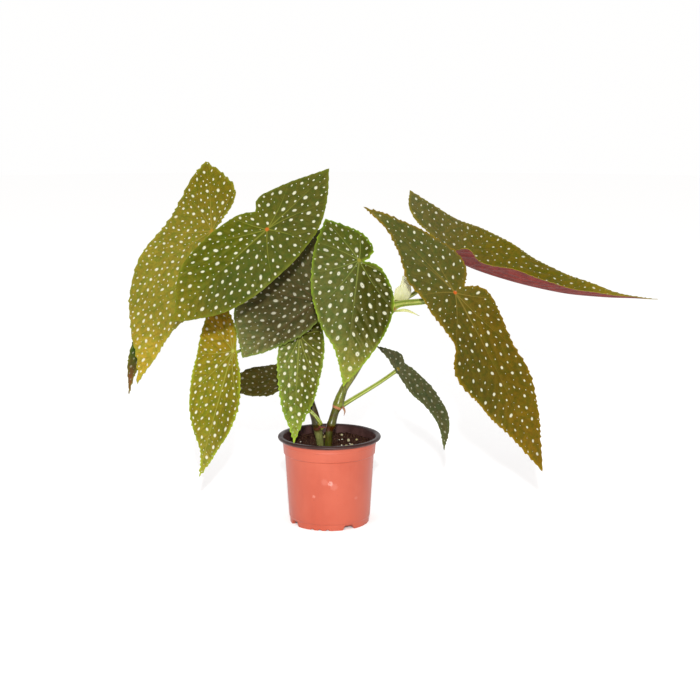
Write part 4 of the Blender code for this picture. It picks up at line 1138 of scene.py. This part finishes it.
def rounded(corners, steps=4):
    """Rounds the corners of a profile: each corner is (radius, height, rounding, mark)."""
    line = []
    for index, (radius, height, rounding, mark) in enumerate(corners):
        here = np.array((radius, height), float)
        if rounding == 0 or index in (0, len(corners) - 1):
            line.append((radius, height, mark))
            continue
        before = np.array(corners[index - 1][:2], float) - here
        after = np.array(corners[index + 1][:2], float) - here
        reach = min(rounding, np.linalg.norm(before) * 0.48, np.linalg.norm(after) * 0.48)
        first = here + unit(before) * reach
        last = here + unit(after) * reach
        for share in np.linspace(0, 1, steps + 1):
            spot = (1 - share) ** 2 * first + 2 * share * (1 - share) * here + share**2 * last
            line.append((spot[0], spot[1], mark))
    return line


def from_notch(angle):
    """Degrees from the nearest of the pot's four drain notches to an angle."""
    return (angle + NOTCH_BACK + 45) % 90 - 45


def foot_lift(angle):
    """How high the foot's lower edge stands: arched notches, and three small scallops between."""
    local = from_notch(angle)
    arch = NOTCH_HEIGHT * np.clip((NOTCH_HALF - abs(local)) / NOTCH_SLOPE, 0, 1)
    arch = arch * (1 - 0.10 * (local / NOTCH_HALF) ** 2)
    for centre in SCALLOPS:
        away = abs((local - centre + 45) % 90 - 45)
        arch = max(arch, SCALLOP_HEIGHT * np.exp(-(away / SCALLOP_HALF) ** 2))
    return arch


def pot_wall_material(pots):
    """Injection-moulded polypropylene, terracotta outside: satin, with faint flow lines, the mark of
    its gate, rubbed pale marks, nicks and dust."""
    made, tree, surface = start_material("terracotta_polypropylene", 0.42, 0.5)
    place = add(tree, "ShaderNodeTexCoord", out="Object")
    flow = add(tree, "ShaderNodeMapping", {"Vector": place, "Scale": (1.0, 1.0, 0.12)}, 0)
    rings = add(tree, "ShaderNodeMapping", {"Vector": place, "Scale": (0.25, 0.25, 3.0)}, 0)
    lines, broad, fine, turned = (
        add(tree, "ShaderNodeTexNoise", {"Vector": vector, "Scale": 1 / (size * MM), "Detail": detail}, 0)
        for vector, size, detail in ((flow, 5.556, 3.0), (place, 45.45, 3.0), (place, 1.923, 2.0),
                                     (rings, 3.333, 2.0)))
    layers = [(broad, 0.35, 0.65, 0.0, 0.3, "#E77658"), (lines, 0.50, 0.70, 0.0, 0.13, "#BB533A"),
              (turned, 0.52, 0.70, 0.0, 0.25, "#D16247")]
    for centre, size, strength, code in POT_MARKS:
        away = add(tree, "ShaderNodeVectorMath", {0: place, 1: tuple(MM * value for value in centre)},
                   "Value", operation="DISTANCE")
        away = add(tree, "ShaderNodeMath", {0: fine, 1: 0.0035, 2: away}, 0, operation="MULTIPLY_ADD")
        layers.append((away, MM * (0.45 * size + 1.7), MM * (size + 1.9), strength, 0.0, code))
    colour = lay_over(tree, tuple(pots.wall), layers)
    bumps = add(tree, "ShaderNodeMath", {0: turned, 1: 0.8, 2: lines}, 0, operation="MULTIPLY_ADD")
    relief = add(tree, "ShaderNodeBump", {"Height": bumps, "Distance": 0.0003, "Strength": 0.25}, 0)
    rough = add(tree, "ShaderNodeMapRange", {"Value": broad, "From Min": 0.3, "From Max": 0.7,
                                             "To Min": 0.34, "To Max": 0.46}, 0)
    cover(tree, surface, colour, relief, rough)
    return made


def pot_lining_material(pots):
    """The pot's second layer, dark brown polypropylene: smooth on the rim, stained by soil inside, and
    its rim's top painted darker against the light that falls on it from above.
    """
    made, tree, surface = start_material("brown_polypropylene", 0.4, 0.22)
    place = add(tree, "ShaderNodeTexCoord", out="Object")
    broad, fine, smear = (
        add(tree, "ShaderNodeTexNoise", {"Vector": place, "Scale": 1 / (size * MM), "Detail": detail}, 0)
        for size, detail in ((16.67, 5.0), (1.429, 2.0), (5.0, 4.0)))
    height = add(tree, "ShaderNodeSeparateXYZ", {0: place}, 2)
    # Painted shade: above 100 mm the rim's top is laid over with a darker brown, which holds back the light
    # that falls on it from above
    colour = lay_over(tree, tuple(pots.lining), (
        (broad, 0.35, 0.65, 0.0, 1.0, "#49322F"), (fine, 0.66, 0.76, 0.0, 0.5, "#7E6A62"),
        (smear, 0.5, 0.7, 0.0, 0.4, "#5A4240"), (height, 100 * MM, 102 * MM, 0.0, 0.9, "#3E2A27")))
    rough = add(tree, "ShaderNodeMapRange", {"Value": broad, "From Min": 0.35, "From Max": 0.65,
                                             "To Min": 0.30, "To Max": 0.50}, 0)
    relief = add(tree, "ShaderNodeBump", {"Height": broad, "Distance": 0.0004, "Strength": 0.2}, 0)
    cover(tree, surface, colour, relief, rough)
    return made


def make_pot(pots):
    """The thin pot as one turned shell with a rolled rim, a stepped collar and a notched foot."""
    top = POT_BOX[1][2] / MM
    rim = POT_BOX[1][0] / MM
    lip = top - RIM_HEIGHT
    corners = [
        (0, 0.6, 0, ""), (DISC_RADIUS, 0.0, 0.8, ""), (DISC_RADIUS + 2, CHANNEL_DEPTH, 0.8, ""),
        (SLOT_INNER, CHANNEL_DEPTH, 0, "slot"), (SLOT_OUTER, CHANNEL_DEPTH, 0, ""),
        (CHANNEL_OUTER, CHANNEL_DEPTH, 0.8, ""), (FOOT_INNER, 0, 0, "foot"),
        (FOOT_RADIUS - 0.5, 0, 0, "foot"), (FOOT_RADIUS, 0.5, 0, "foot"),
        (FOOT_RADIUS + 0.3, FOOT_HEIGHT - 1, 0.6, ""), (BODY_FOOT_RADIUS, FOOT_HEIGHT, 0.6, ""),
        (BODY_TOP_RADIUS, COLLAR_FOOT - 0.5, 0.5, ""), (COLLAR_RADIUS - 1.2, COLLAR_FOOT + 0.5, 0.5, ""),
        (COLLAR_RADIUS - 0.55, COLLAR_BEAD - 0.6, 0.3, ""), (COLLAR_RADIUS - 0.15, COLLAR_BEAD, 0.3, ""),
        (COLLAR_RADIUS - 0.35, COLLAR_BEAD + 0.8, 0.3, ""), (COLLAR_RADIUS, lip - 0.2, 0.6, ""),
        (rim - 1.0, lip, 0.8, "rim"), (rim, lip + 1.2, 1.0, "rim"), (rim, top - 1.2, 1.3, "rim"),
        (rim - 1.5, top, 1.4, "rim"), (COLLAR_RADIUS + 0.6, top - 0.15, 1.0, "rim"),
        (COLLAR_RADIUS - WALL, top - 1.6, 1.2, "rim"),
        (COLLAR_RADIUS - 1.2 - WALL, COLLAR_FOOT + 1.4, 0.5, "in"),
        (BODY_TOP_RADIUS - WALL, COLLAR_FOOT + 0.5, 0.5, "in"),
        (BODY_FOOT_RADIUS - WALL, FOOT_HEIGHT + 0.6, 0.5, "in"),
        (FOOT_RADIUS - WALL, FOOT_HEIGHT - 0.4, 0.4, "in"), (FOOT_RADIUS - WALL, FLOOR, 0, "foot_in"),
        (FOOT_INNER + 0.8, FLOOR, 0, "foot_in"), (CHANNEL_OUTER + 0.7, CHANNEL_DEPTH + FLOOR, 0.6, "in"),
        (SLOT_OUTER, CHANNEL_DEPTH + FLOOR, 0, "slot_in"), (SLOT_INNER, CHANNEL_DEPTH + FLOOR, 0, "in"),
        (DISC_RADIUS + 1.5, CHANNEL_DEPTH + FLOOR, 0.6, "in"), (DISC_RADIUS - 0.6, FLOOR, 0.6, "in"),
        (0, FLOOR, 0, "in"),
    ]
    profile = rounded(corners)
    around = pots.segments
    angles = np.arange(around) * 360 / around
    lifts = np.array([foot_lift(angle) for angle in angles])
    turns = np.radians(angles - 90)
    points = [(0, 0, profile[0][1])]
    for radius, height, mark in profile[1:-1]:
        rise = lifts if mark.startswith("foot") else 0 * lifts
        points += list(zip(radius * np.cos(turns), radius * np.sin(turns), height + rise))
    points.append((0, 0, profile[-1][1]))
    rings = profile[1:-1]
    marks = [mark for _, _, mark in rings]
    slot_out = marks.index("slot")
    slot_in = marks.index("slot_in")
    slotted = np.abs(from_notch(angles)) < SLOT_HALF
    faces, dark = [], []

    def corner(ring, step):
        """Number of the point at a step round a ring of the profile."""
        return 1 + ring * around + step % around

    for step in range(around):
        faces.append((0, corner(0, step + 1), corner(0, step)))
        dark.append(0)
        faces.append((len(points) - 1, corner(len(rings) - 1, step), corner(len(rings) - 1, step + 1)))
        dark.append(1)
        for ring in range(len(rings) - 1):
            if slotted[step] and ring in (slot_out, slot_in):
                continue
            faces.append((corner(ring, step), corner(ring, step + 1),
                          corner(ring + 1, step + 1), corner(ring + 1, step)))
            dark.append(int("rim" in marks[ring] or "in" in marks[ring]))
        if slotted[step]:
            for low, high in ((slot_out, slot_in + 1), (slot_out + 1, slot_in)):
                quad = (corner(low, step), corner(low, step + 1), corner(high, step + 1), corner(high, step))
                faces.append(quad if low == slot_out + 1 else quad[::-1])
                dark.append(0)
            for beside, here in ((-1, step), (1, step + 1)):
                if not slotted[(step + beside) % around]:
                    quad = (corner(slot_out, here), corner(slot_out + 1, here),
                            corner(slot_in, here), corner(slot_in + 1, here))
                    faces.append(quad if beside == 1 else quad[::-1])
                    dark.append(0)
    mesh = bpy.data.meshes.new("nursery_pot")
    mesh.from_pydata((np.array(points) * MM).tolist(), [], faces)
    mesh.polygons.foreach_set("material_index", dark)
    work = bmesh.new()
    work.from_mesh(mesh)
    bmesh.ops.recalc_face_normals(work, faces=work.faces)
    work.to_mesh(mesh)
    work.free()
    mesh.materials.append(pot_wall_material(pots))
    mesh.materials.append(pot_lining_material(pots))
    mesh.shade_smooth()
    mesh.set_sharp_from_angle(angle=radians(35))
    return dress("nursery_pot", mesh, "pot_plastic", "pot")


# The soil and what lies on it

def soil_surface(x, y):
    """Height of the soil at a place, in millimetres: a slope, hollows, and crumbs on top."""
    waves = sin(0.31 * x + 1.3) * cos(0.27 * y + 0.4) + 0.6 * sin(0.71 * x - 0.53 * y)
    crumbs = noise.fractal(Vector((x * 0.30, y * 0.30, 3.0)), 0.7, 2.2, 5)
    return SOIL_HEIGHT + SOIL_SLOPE * y + SOIL_BUMP * 0.6 * waves + 0.8 * crumbs


def soil_material(soils):
    """Peat potting soil: damp, nearly black, matt crumbs with brown fibres."""
    made, tree, surface = start_material("damp_peat_soil", 0.9, 0.05)
    place = add(tree, "ShaderNodeTexCoord", out="Object")
    coarse, fine = (
        add(tree, "ShaderNodeTexNoise", {"Vector": place, "Scale": 1 / (size * MM), "Detail": detail}, 0)
        for size, detail in ((3.846, 6.0), (1.111, 3.0)))
    colour = lay_over(tree, tuple(soils.soil), (
        (coarse, 0.40, 0.65, 0.0, 0.9, "#50382E"), (fine, 0.64, 0.74, 0.0, 0.6, "#76583F")))
    relief = add(tree, "ShaderNodeBump", {"Height": coarse, "Distance": 0.0012, "Strength": 0.8}, 0)
    cover(tree, surface, colour, relief)
    return made


def grain_material(name, roughness, pale, dark, grit_size):
    """A loose grain's own skin, with a tone of its own for each grain and grit of a size in millimetres."""
    made, tree, surface = start_material(name, roughness, 0.1)
    place = add(tree, "ShaderNodeTexCoord", out="Object")
    tone = add(tree, "ShaderNodeAttribute", out="Fac", attribute_name="tone")
    grit = add(tree, "ShaderNodeTexNoise", {"Vector": place, "Scale": 1 / (grit_size * MM), "Detail": 3.0}, 0)
    worn = add(tree, "ShaderNodeMapRange", {"Value": grit, "From Min": 0.45, "From Max": 0.7, "To Min": 0.0,
                                            "To Max": 0.4}, 0)
    colour = add(tree, "ShaderNodeMix", {"Factor_Float": tone, "A_Color": pale, "B_Color": dark}, 2,
                 data_type="RGBA")
    colour = add(tree, "ShaderNodeMix", {"Factor_Float": worn, "A_Color": colour,
                                         "B_Color": (0.5, 0.46, 0.4, 1.0)}, 2, data_type="RGBA",
                 blend_type="MULTIPLY")
    relief = add(tree, "ShaderNodeBump", {"Height": grit, "Distance": 0.0003, "Strength": 0.6}, 0)
    cover(tree, surface, colour, relief)
    return made


def grain_tree():
    """Strews lumpy grains of uneven size on the ground it is given, thicker where it is favoured."""
    tree, given = start_tree("strewn_grains", (
        ("Ground", "Geometry"), ("Spacing", "Float"), ("Density", "Float"), ("Size", "Float"),
        ("Stretch", "Vector"), ("Lumps", "Float"), ("Seed", "Int"), ("Facets", "Int"),
        ("Finish", "Material")), "Grains")
    favour = add(tree, "GeometryNodeInputNamedAttribute", {"Name": "favour"}, 0, data_type="FLOAT")
    spots = add(tree, "GeometryNodeDistributePointsOnFaces", {
        "Mesh": given["Ground"], "Distance Min": given["Spacing"], "Density Max": given["Density"],
        "Density Factor": favour, "Seed": given["Seed"]}, 0, distribute_method="POISSON")
    ball = add(tree, "GeometryNodeMeshIcoSphere", {"Radius": 1.0, "Subdivisions": given["Facets"]}, 0)
    lump = add(tree, "ShaderNodeTexNoise", {"Scale": 1.1, "Detail": 2.0}, 0)
    lump = add(tree, "ShaderNodeMath", {0: lump, 1: -0.5}, 0, operation="ADD")
    lump = add(tree, "ShaderNodeMath", {0: lump, 1: given["Lumps"]}, 0, operation="MULTIPLY")
    normal = add(tree, "GeometryNodeInputNormal", out=0)
    push = add(tree, "ShaderNodeVectorMath", {0: normal, "Scale": lump}, 0, operation="SCALE")
    grain = add(tree, "GeometryNodeSetPosition", {"Geometry": ball, "Offset": push}, 0)
    size = add(tree, "FunctionNodeRandomValue", {"Min_001": 0.5, "Max_001": 1.25, "Seed": given["Seed"]}, 1,
               data_type="FLOAT")
    size = add(tree, "ShaderNodeMath", {0: size, 1: given["Size"]}, 0, operation="MULTIPLY")
    scale = add(tree, "ShaderNodeVectorMath", {0: given["Stretch"], "Scale": size}, 0, operation="SCALE")
    turn = add(tree, "FunctionNodeRandomValue", {
        "Min": (0, 0, 0), "Max": (6.28, 6.28, 6.28), "Seed": given["Seed"]}, 0, data_type="FLOAT_VECTOR")
    strewn = add(tree, "GeometryNodeInstanceOnPoints", {
        "Points": spots, "Instance": grain, "Rotation": turn, "Scale": scale}, 0)
    tone = add(tree, "FunctionNodeRandomValue", {"Min_001": 0.0, "Max_001": 1.0, "Seed": given["Seed"]}, 1,
               data_type="FLOAT")
    toned = add(tree, "GeometryNodeStoreNamedAttribute", {
        "Geometry": strewn, "Name": "tone", "Value": tone}, 0, data_type="FLOAT", domain="INSTANCE")
    return end_tree(tree, toned, given["Finish"])


def soil_disc(radii, around, favour=None):
    """The soil's upper surface as rings; favour says how thickly grains lie at a place."""
    points = [(0, 0, soil_surface(0, 0))]
    for radius in radii:
        for step in range(around):
            x = radius * cos(2 * pi * step / around)
            y = radius * sin(2 * pi * step / around)
            points.append((x, y, soil_surface(x, y)))
    faces = [(0, 1 + step, 1 + (step + 1) % around) for step in range(around)]
    for ring in range(len(radii) - 1):
        low = 1 + ring * around
        for step in range(around):
            after = (step + 1) % around
            faces.append((low + step, low + around + step, low + around + after, low + after))
    if favour is None:
        return points, faces
    mesh = bpy.data.meshes.new("ground")
    mesh.from_pydata((np.array(points) * MM).tolist(), [], faces)
    store(mesh, "favour", "FLOAT", "POINT", np.array([favour(x, y) for x, y, _ in points]))
    return mesh


def make_soil(soils):
    """The soil with its fine crumbs, and the loose perlite, bark and fibres strewn on it."""
    around = 180
    radii = np.linspace(0.9, 51.9, 58)
    points, faces = soil_disc(radii, around)
    wall = WALL + GAP
    floor = FLOOR + GAP
    side = [
        (COLLAR_RADIUS - 1.3 - wall, COLLAR_FOOT + 1.9), (BODY_TOP_RADIUS - wall, COLLAR_FOOT + 0.8),
        (BODY_FOOT_RADIUS - wall, FOOT_HEIGHT + 1.0), (FOOT_RADIUS - wall, FOOT_HEIGHT),
        (FOOT_RADIUS - wall, NOTCH_HEIGHT + floor + 0.2), (FOOT_INNER - 1.2, NOTCH_HEIGHT + floor + 0.2),
        (CHANNEL_OUTER - 0.1, CHANNEL_DEPTH + floor + 0.1), (DISC_RADIUS + 1.0, CHANNEL_DEPTH + floor + 0.1),
        (DISC_RADIUS - 1.0, floor),
    ]
    shrink = 0.996  # Keeps the side clear of the pot's wall
    for radius, height in side:
        last = len(points) - around
        first = len(points)
        for step in range(around):
            turn = 2 * pi * step / around
            after = (step + 1) % around
            points.append((radius * shrink * cos(turn), radius * shrink * sin(turn), height))
            faces.append((last + step, first + step, first + after, last + after))
    points.append((0, 0, floor))
    faces += [(len(points) - 1, first + (step + 1) % around, first + step) for step in range(around)]
    mesh = bpy.data.meshes.new("potting_soil")
    mesh.from_pydata((np.array(points) * MM).tolist(), [], faces)
    mesh.shade_smooth()
    mesh.materials.append(soil_material(soils))
    dress("potting_soil", mesh, "potting_soil", "soil")

    def open_ground(x, y):
        """Grains lie neither round a cane's foot nor against the pot."""
        near = min(np.hypot(x - cane["path"][0][0], y - cane["path"][0][1]) for cane in CANES.values()) < 6.5
        return 0.0 if near or np.hypot(x, y) > 49 else 1.0

    def pale_heap(x, y):
        """Perlite lies in a large heap on the right and a small one on the left."""
        large = np.exp(-((x - 24) ** 2 + (y + 8) ** 2) / 130)
        small = 0.5 * np.exp(-((x + 28) ** 2 + (y + 18) ** 2) / 40)
        return open_ground(x, y) * (0.12 + 0.9 * (large + small))

    grounds = np.linspace(1.0, 50.5, 34)
    tree = grain_tree()
    for name, favour, spacing, density, size, stretch, lumps, seed, facets, finish in (
            ("perlite_grains", pale_heap, 0.0044, 30000.0, soils.perlite_size, (1.0, 0.85, 0.75), 0.9,
             soils.seed, 3,
             grain_material("expanded_perlite", 0.75, tuple(soils.perlite), hex_colour("#B6AA6E"), 0.5556)),
            ("bark_crumbs", open_ground, 0.0019, 220000.0, 0.00115, (1.25, 0.9, 0.6), 1.2, soils.seed + 1, 1,
             grain_material("composted_bark", 0.85, hex_colour("#382620"), hex_colour("#5E4438"), 0.8333)),
            ("soil_fibres", open_ground, 0.0050, 26000.0, 0.00055, (5.0, 0.7, 0.5), 0.8, soils.seed + 2, 1,
             grain_material("peat_fibre", 0.85, hex_colour("#7E6436"), hex_colour("#54402A"), 1.111))):
        mesh = run_tree(tree, soil_disc(grounds, 90, favour), {
            "Spacing": spacing, "Density": density, "Size": size, "Stretch": stretch, "Lumps": lumps,
            "Seed": seed, "Facets": facets, "Finish": finish})
        mesh.shade_smooth()
        dress(name, mesh, "potting_soil")


def make_bud():
    """The small green side bud in the fork of the canes."""
    made, tree, surface = start_material("tender_green_bud", 0.4)
    place = add(tree, "ShaderNodeTexCoord", out="Object")
    patch = add(tree, "ShaderNodeTexNoise", {"Vector": place, "Scale": 1 / (1.111 * MM), "Detail": 2.0}, 0)
    cover(tree, surface, lay_over(tree, hex_colour("#A8B04A"), (
        (patch, 0.4, 0.65, 0.0, 0.8, "#6E7A2A"),), "LINEAR"))
    rings, around = 12, 16
    length, thick = 5.6, 1.6
    base = np.array((-10.0, -11.6, 112.0))
    way = unit((0.62, -0.45, 0.50))
    side = unit(np.cross(way, (0, 1, 0)))
    other = np.cross(way, side)
    points = [base]
    for ring in range(1, rings):
        share = ring / rings
        radius = thick * sin(pi * share) ** 0.75 * (1.15 - 0.5 * share)
        for step in range(around):
            turn = 2 * pi * step / around
            points.append(base + way * length * share + radius * (side * cos(turn) + other * sin(turn)))
    points.append(base + way * length)
    faces = []
    for step in range(around):
        after = (step + 1) % around
        faces.append((0, 1 + after, 1 + step))
        last = 1 + (rings - 2) * around
        faces.append((len(points) - 1, last + step, last + after))
        for ring in range(rings - 2):
            low = 1 + ring * around
            faces.append((low + step, low + after, low + around + after, low + around + step))
    mesh = bpy.data.meshes.new("side_bud")
    mesh.from_pydata((np.array(points) * MM).tolist(), [], faces)
    mesh.shade_smooth()
    mesh.materials.append(made)
    return dress("side_bud", mesh, "stalk")


# The studio

def make_studio(studio):
    """The pale floor, the bright surroundings, three lamps that face the plant, and the camera."""
    scene = bpy.context.scene
    scene.view_settings.view_transform = "Standard"
    bpy.ops.mesh.primitive_circle_add(vertices=96, radius=6.0, fill_type="NGON")
    floor = bpy.context.object
    floor.name = "studio_floor"
    paper, _, surface = start_material("matt_paper_floor", 0.9, 0.0)
    surface.inputs["Base Color"].default_value = tuple(studio.floor)
    floor.data.materials.append(paper)

    world = bpy.data.worlds.new("studio_air")
    world.use_nodes = True
    world.node_tree.nodes["Background"].inputs["Color"].default_value = (1.0, 0.997, 0.994, 1.0)
    world.node_tree.nodes["Background"].inputs["Strength"].default_value = studio.air
    scene.world = world

    aim = Vector((0.05, 0.0, 0.22))
    for name, place, power, size in (
            ("front_lamp", (0.03, -1.80, 0.80), studio.front_power, 0.07),
            ("softbox_left", (-1.05, -1.45, 1.15), studio.left_power, 0.65),
            ("softbox_right", (1.15, -1.40, 1.10), studio.right_power, 0.65)):
        light = bpy.data.lights.new(name, "AREA")
        light.energy = power
        light.size = size
        lamp = bpy.data.objects.new(name, light)
        scene.collection.objects.link(lamp)
        lamp.location = place
        lamp.rotation_euler = (aim - Vector(place)).to_track_quat("-Z", "Y").to_euler()

    seen = bpy.data.cameras.new("camera")
    seen.sensor_width = 36.0
    seen.lens = studio.lens
    camera = bpy.data.objects.new("camera", seen)
    scene.collection.objects.link(camera)
    camera.location = (0.024, -1.770, 0.528)
    camera.rotation_euler = (radians(90 - studio.pitch), 0, 0)
    scene.camera = camera


# What a user may change

class BladeSizes(bpy.types.PropertyGroup):
    """Sizes and colours of the leaf blades."""
    net_spacing: FloatProperty(name="Net spacing", description="Width of the triangles of a blade",
                               default=0.0015, min=0.0008, unit="LENGTH")
    tooth_pitch: FloatProperty(name="Tooth pitch", description="Mean distance between two teeth",
                               default=0.0068, min=0.002, unit="LENGTH")
    tooth_height: FloatProperty(name="Tooth height", description="How far a tooth stands out",
                                default=0.0019, min=0.0, unit="LENGTH")
    thickness: FloatProperty(name="Thickness", description="Thickness of a blade in its middle",
                             default=0.0008, min=0.0002, unit="LENGTH")
    margin_thickness: FloatProperty(name="Margin thickness", description="Thickness at the margin",
                                    default=0.00045, min=0.0001, unit="LENGTH")
    quilting: FloatProperty(name="Quilting", description="How far a blade bulges between its veins",
                            default=0.0008, min=0.0, unit="LENGTH")
    sheen: FloatProperty(name="Sheen", description="How strongly the waxy skin mirrors", default=0.10,
                         min=0.0, max=1.0)
    spots: FloatVectorProperty(name="Spots", description="Colour of the silvery spots", subtype="COLOR",
                               size=4, min=0.0, max=1.0, default=hex_colour("#E6E4CA"))
    underside: FloatVectorProperty(name="Underside", description="Colour of a blade's underside",
                                   subtype="COLOR", size=4, min=0.0, max=1.0, default=hex_colour("#94443E"))
    seed: IntProperty(name="Seed", description="Seed of the teeth and the spots", default=40)


class CaneSizes(bpy.types.PropertyGroup):
    """Sizes of the canes."""
    sides: IntProperty(name="Sides", description="Sides of a cane", default=36, min=8)


class StalkSizes(bpy.types.PropertyGroup):
    """Sizes and colour of the leaf stalks."""
    sides: IntProperty(name="Sides", description="Sides of a stalk", default=30, min=8)
    ribs: IntProperty(name="Ribs", description="Lengthwise ribs of a stalk", default=5, min=0)
    rib_depth: FloatProperty(name="Rib depth", description="Depth of a rib, as a share of the radius",
                             default=0.055, min=0.0, max=0.3)
    colour: FloatVectorProperty(name="Colour", description="Colour of a stalk's pale ribs", subtype="COLOR",
                                size=4, min=0.0, max=1.0, default=hex_colour("#C0CA66"))


class ScaleSizes(bpy.types.PropertyGroup):
    """Sizes of the papery scales."""
    thickness: FloatProperty(name="Thickness", description="Thickness of a papery scale", default=0.00045,
                             min=0.0001, unit="LENGTH")


class PotSizes(bpy.types.PropertyGroup):
    """Sizes and colours of the pot."""
    segments: IntProperty(name="Segments", description="Sides of the turned pot", default=360, min=72)
    wall: FloatVectorProperty(name="Wall", description="Colour of the outer layer", subtype="COLOR", size=4,
                              min=0.0, max=1.0, default=hex_colour("#D05D41"))
    lining: FloatVectorProperty(name="Lining", description="Colour of the inner layer and the rim",
                                subtype="COLOR", size=4, min=0.0, max=1.0, default=hex_colour("#644844"))


class SoilSizes(bpy.types.PropertyGroup):
    """How the loose grains on the soil are strewn, and the soil's colours."""
    soil: FloatVectorProperty(name="Soil", description="Colour of the damp soil", subtype="COLOR", size=4,
                              min=0.0, max=1.0, default=hex_colour("#33231E"))
    perlite: FloatVectorProperty(name="Perlite", description="Colour of the palest grains", subtype="COLOR",
                                 size=4, min=0.0, max=1.0, default=hex_colour("#FFFCE6"))
    perlite_size: FloatProperty(name="Perlite size", description="Mean radius of a perlite grain",
                                default=0.0021, min=0.0002, unit="LENGTH")
    seed: IntProperty(name="Seed", description="Seed of the strewn grains", default=7)


class StudioSizes(bpy.types.PropertyGroup):
    """Light, floor and camera."""
    air: FloatProperty(name="Air", description="Strength of the white surroundings", default=1.0, min=0.0)
    floor: FloatVectorProperty(name="Floor", description="Colour of the floor", subtype="COLOR", size=4,
                               min=0.0, max=1.0, default=(0.985, 0.981, 0.979, 1.0))
    front_power: FloatProperty(name="Front power", description="Power of the lamp over the camera in watts",
                               default=38.0, min=0.0, unit="POWER")
    left_power: FloatProperty(name="Left power", description="Power of the left softbox in watts",
                              default=6.0, min=0.0, unit="POWER")
    right_power: FloatProperty(name="Right power", description="Power of the right softbox in watts",
                               default=2.0, min=0.0, unit="POWER")
    lens: FloatProperty(name="Lens", description="Focal length in millimetres", default=80.23, min=10.0)
    pitch: FloatProperty(name="Pitch", description="Degrees that the camera looks down", default=10.4)


class BEGONIA_OT_blades(bpy.types.Operator):
    """Make the eleven leaf blades"""
    bl_idname = "begonia.blades"
    bl_label = "Leaf blades"

    def execute(self, context):
        for number, (name, leaf) in enumerate(LEAVES.items()):
            make_blade(number, name, leaf, context.scene.begonia_blades)
        return {"FINISHED"}


class BEGONIA_OT_canes(bpy.types.Operator):
    """Make the two canes"""
    bl_idname = "begonia.canes"
    bl_label = "Canes"

    def execute(self, context):
        tree = stem_tree()
        for name in CANES:
            make_cane(name, context.scene.begonia_canes, tree)
        return {"FINISHED"}


class BEGONIA_OT_stalks(bpy.types.Operator):
    """Make the eleven leaf stalks"""
    bl_idname = "begonia.stalks"
    bl_label = "Leaf stalks"

    def execute(self, context):
        stalks = context.scene.begonia_stalks
        tree = stem_tree()
        finish = stalk_material(stalks)
        for name, leaf in LEAVES.items():
            make_stalk(name, leaf, stalks, tree, finish)
        return {"FINISHED"}


class BEGONIA_OT_scales(bpy.types.Operator):
    """Make the four papery scales and the side bud"""
    bl_idname = "begonia.scales"
    bl_label = "Scales and bud"

    def execute(self, context):
        for name in STIPULES:
            make_scale(name, context.scene.begonia_scales)
        make_bud()
        return {"FINISHED"}


class BEGONIA_OT_pot(bpy.types.Operator):
    """Make the nursery pot"""
    bl_idname = "begonia.pot"
    bl_label = "Nursery pot"

    def execute(self, context):
        make_pot(context.scene.begonia_pot)
        return {"FINISHED"}


class BEGONIA_OT_soil(bpy.types.Operator):
    """Make the soil and the grains on it"""
    bl_idname = "begonia.soil"
    bl_label = "Soil"

    def execute(self, context):
        make_soil(context.scene.begonia_soil)
        return {"FINISHED"}


class BEGONIA_OT_studio(bpy.types.Operator):
    """Make the floor, the lights and the camera"""
    bl_idname = "begonia.studio"
    bl_label = "Studio"

    def execute(self, context):
        make_studio(context.scene.begonia_studio)
        return {"FINISHED"}


class BEGONIA_PT_sidebar(bpy.types.Panel):
    """Lists the parts of the plant with their sizes and colours"""
    bl_idname = "BEGONIA_PT_sidebar"
    bl_label = "Potted begonia"
    bl_space_type = "VIEW_3D"
    bl_region_type = "UI"
    bl_category = "Begonia"

    def draw(self, context):
        for label in STEPS:
            box = self.layout.box()
            box.operator("begonia." + label)
            sizes = getattr(context.scene, "begonia_" + label)
            for name in sizes.__annotations__:
                box.prop(sizes, name)


STEPS = {
    "studio": (BEGONIA_OT_studio, StudioSizes), "pot": (BEGONIA_OT_pot, PotSizes),
    "soil": (BEGONIA_OT_soil, SoilSizes), "canes": (BEGONIA_OT_canes, CaneSizes),
    "stalks": (BEGONIA_OT_stalks, StalkSizes), "scales": (BEGONIA_OT_scales, ScaleSizes),
    "blades": (BEGONIA_OT_blades, BladeSizes),
}


def register():
    for label, (operator, group) in STEPS.items():
        bpy.utils.register_class(group)
        setattr(bpy.types.Scene, "begonia_" + label, PointerProperty(type=group))
        bpy.utils.register_class(operator)
    bpy.utils.register_class(BEGONIA_PT_sidebar)


def unregister():
    bpy.utils.unregister_class(BEGONIA_PT_sidebar)
    for label, (operator, group) in STEPS.items():
        bpy.utils.unregister_class(operator)
        delattr(bpy.types.Scene, "begonia_" + label)
        bpy.utils.unregister_class(group)


def main():
    register()
    bpy.ops.begonia.studio()
    bpy.ops.begonia.pot()
    bpy.ops.begonia.soil()
    bpy.ops.begonia.canes()
    bpy.ops.begonia.stalks()
    bpy.ops.begonia.scales()
    bpy.ops.begonia.blades()
    bpy.context.view_layer.update()
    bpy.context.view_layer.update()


if __name__ == "__main__":
    main()
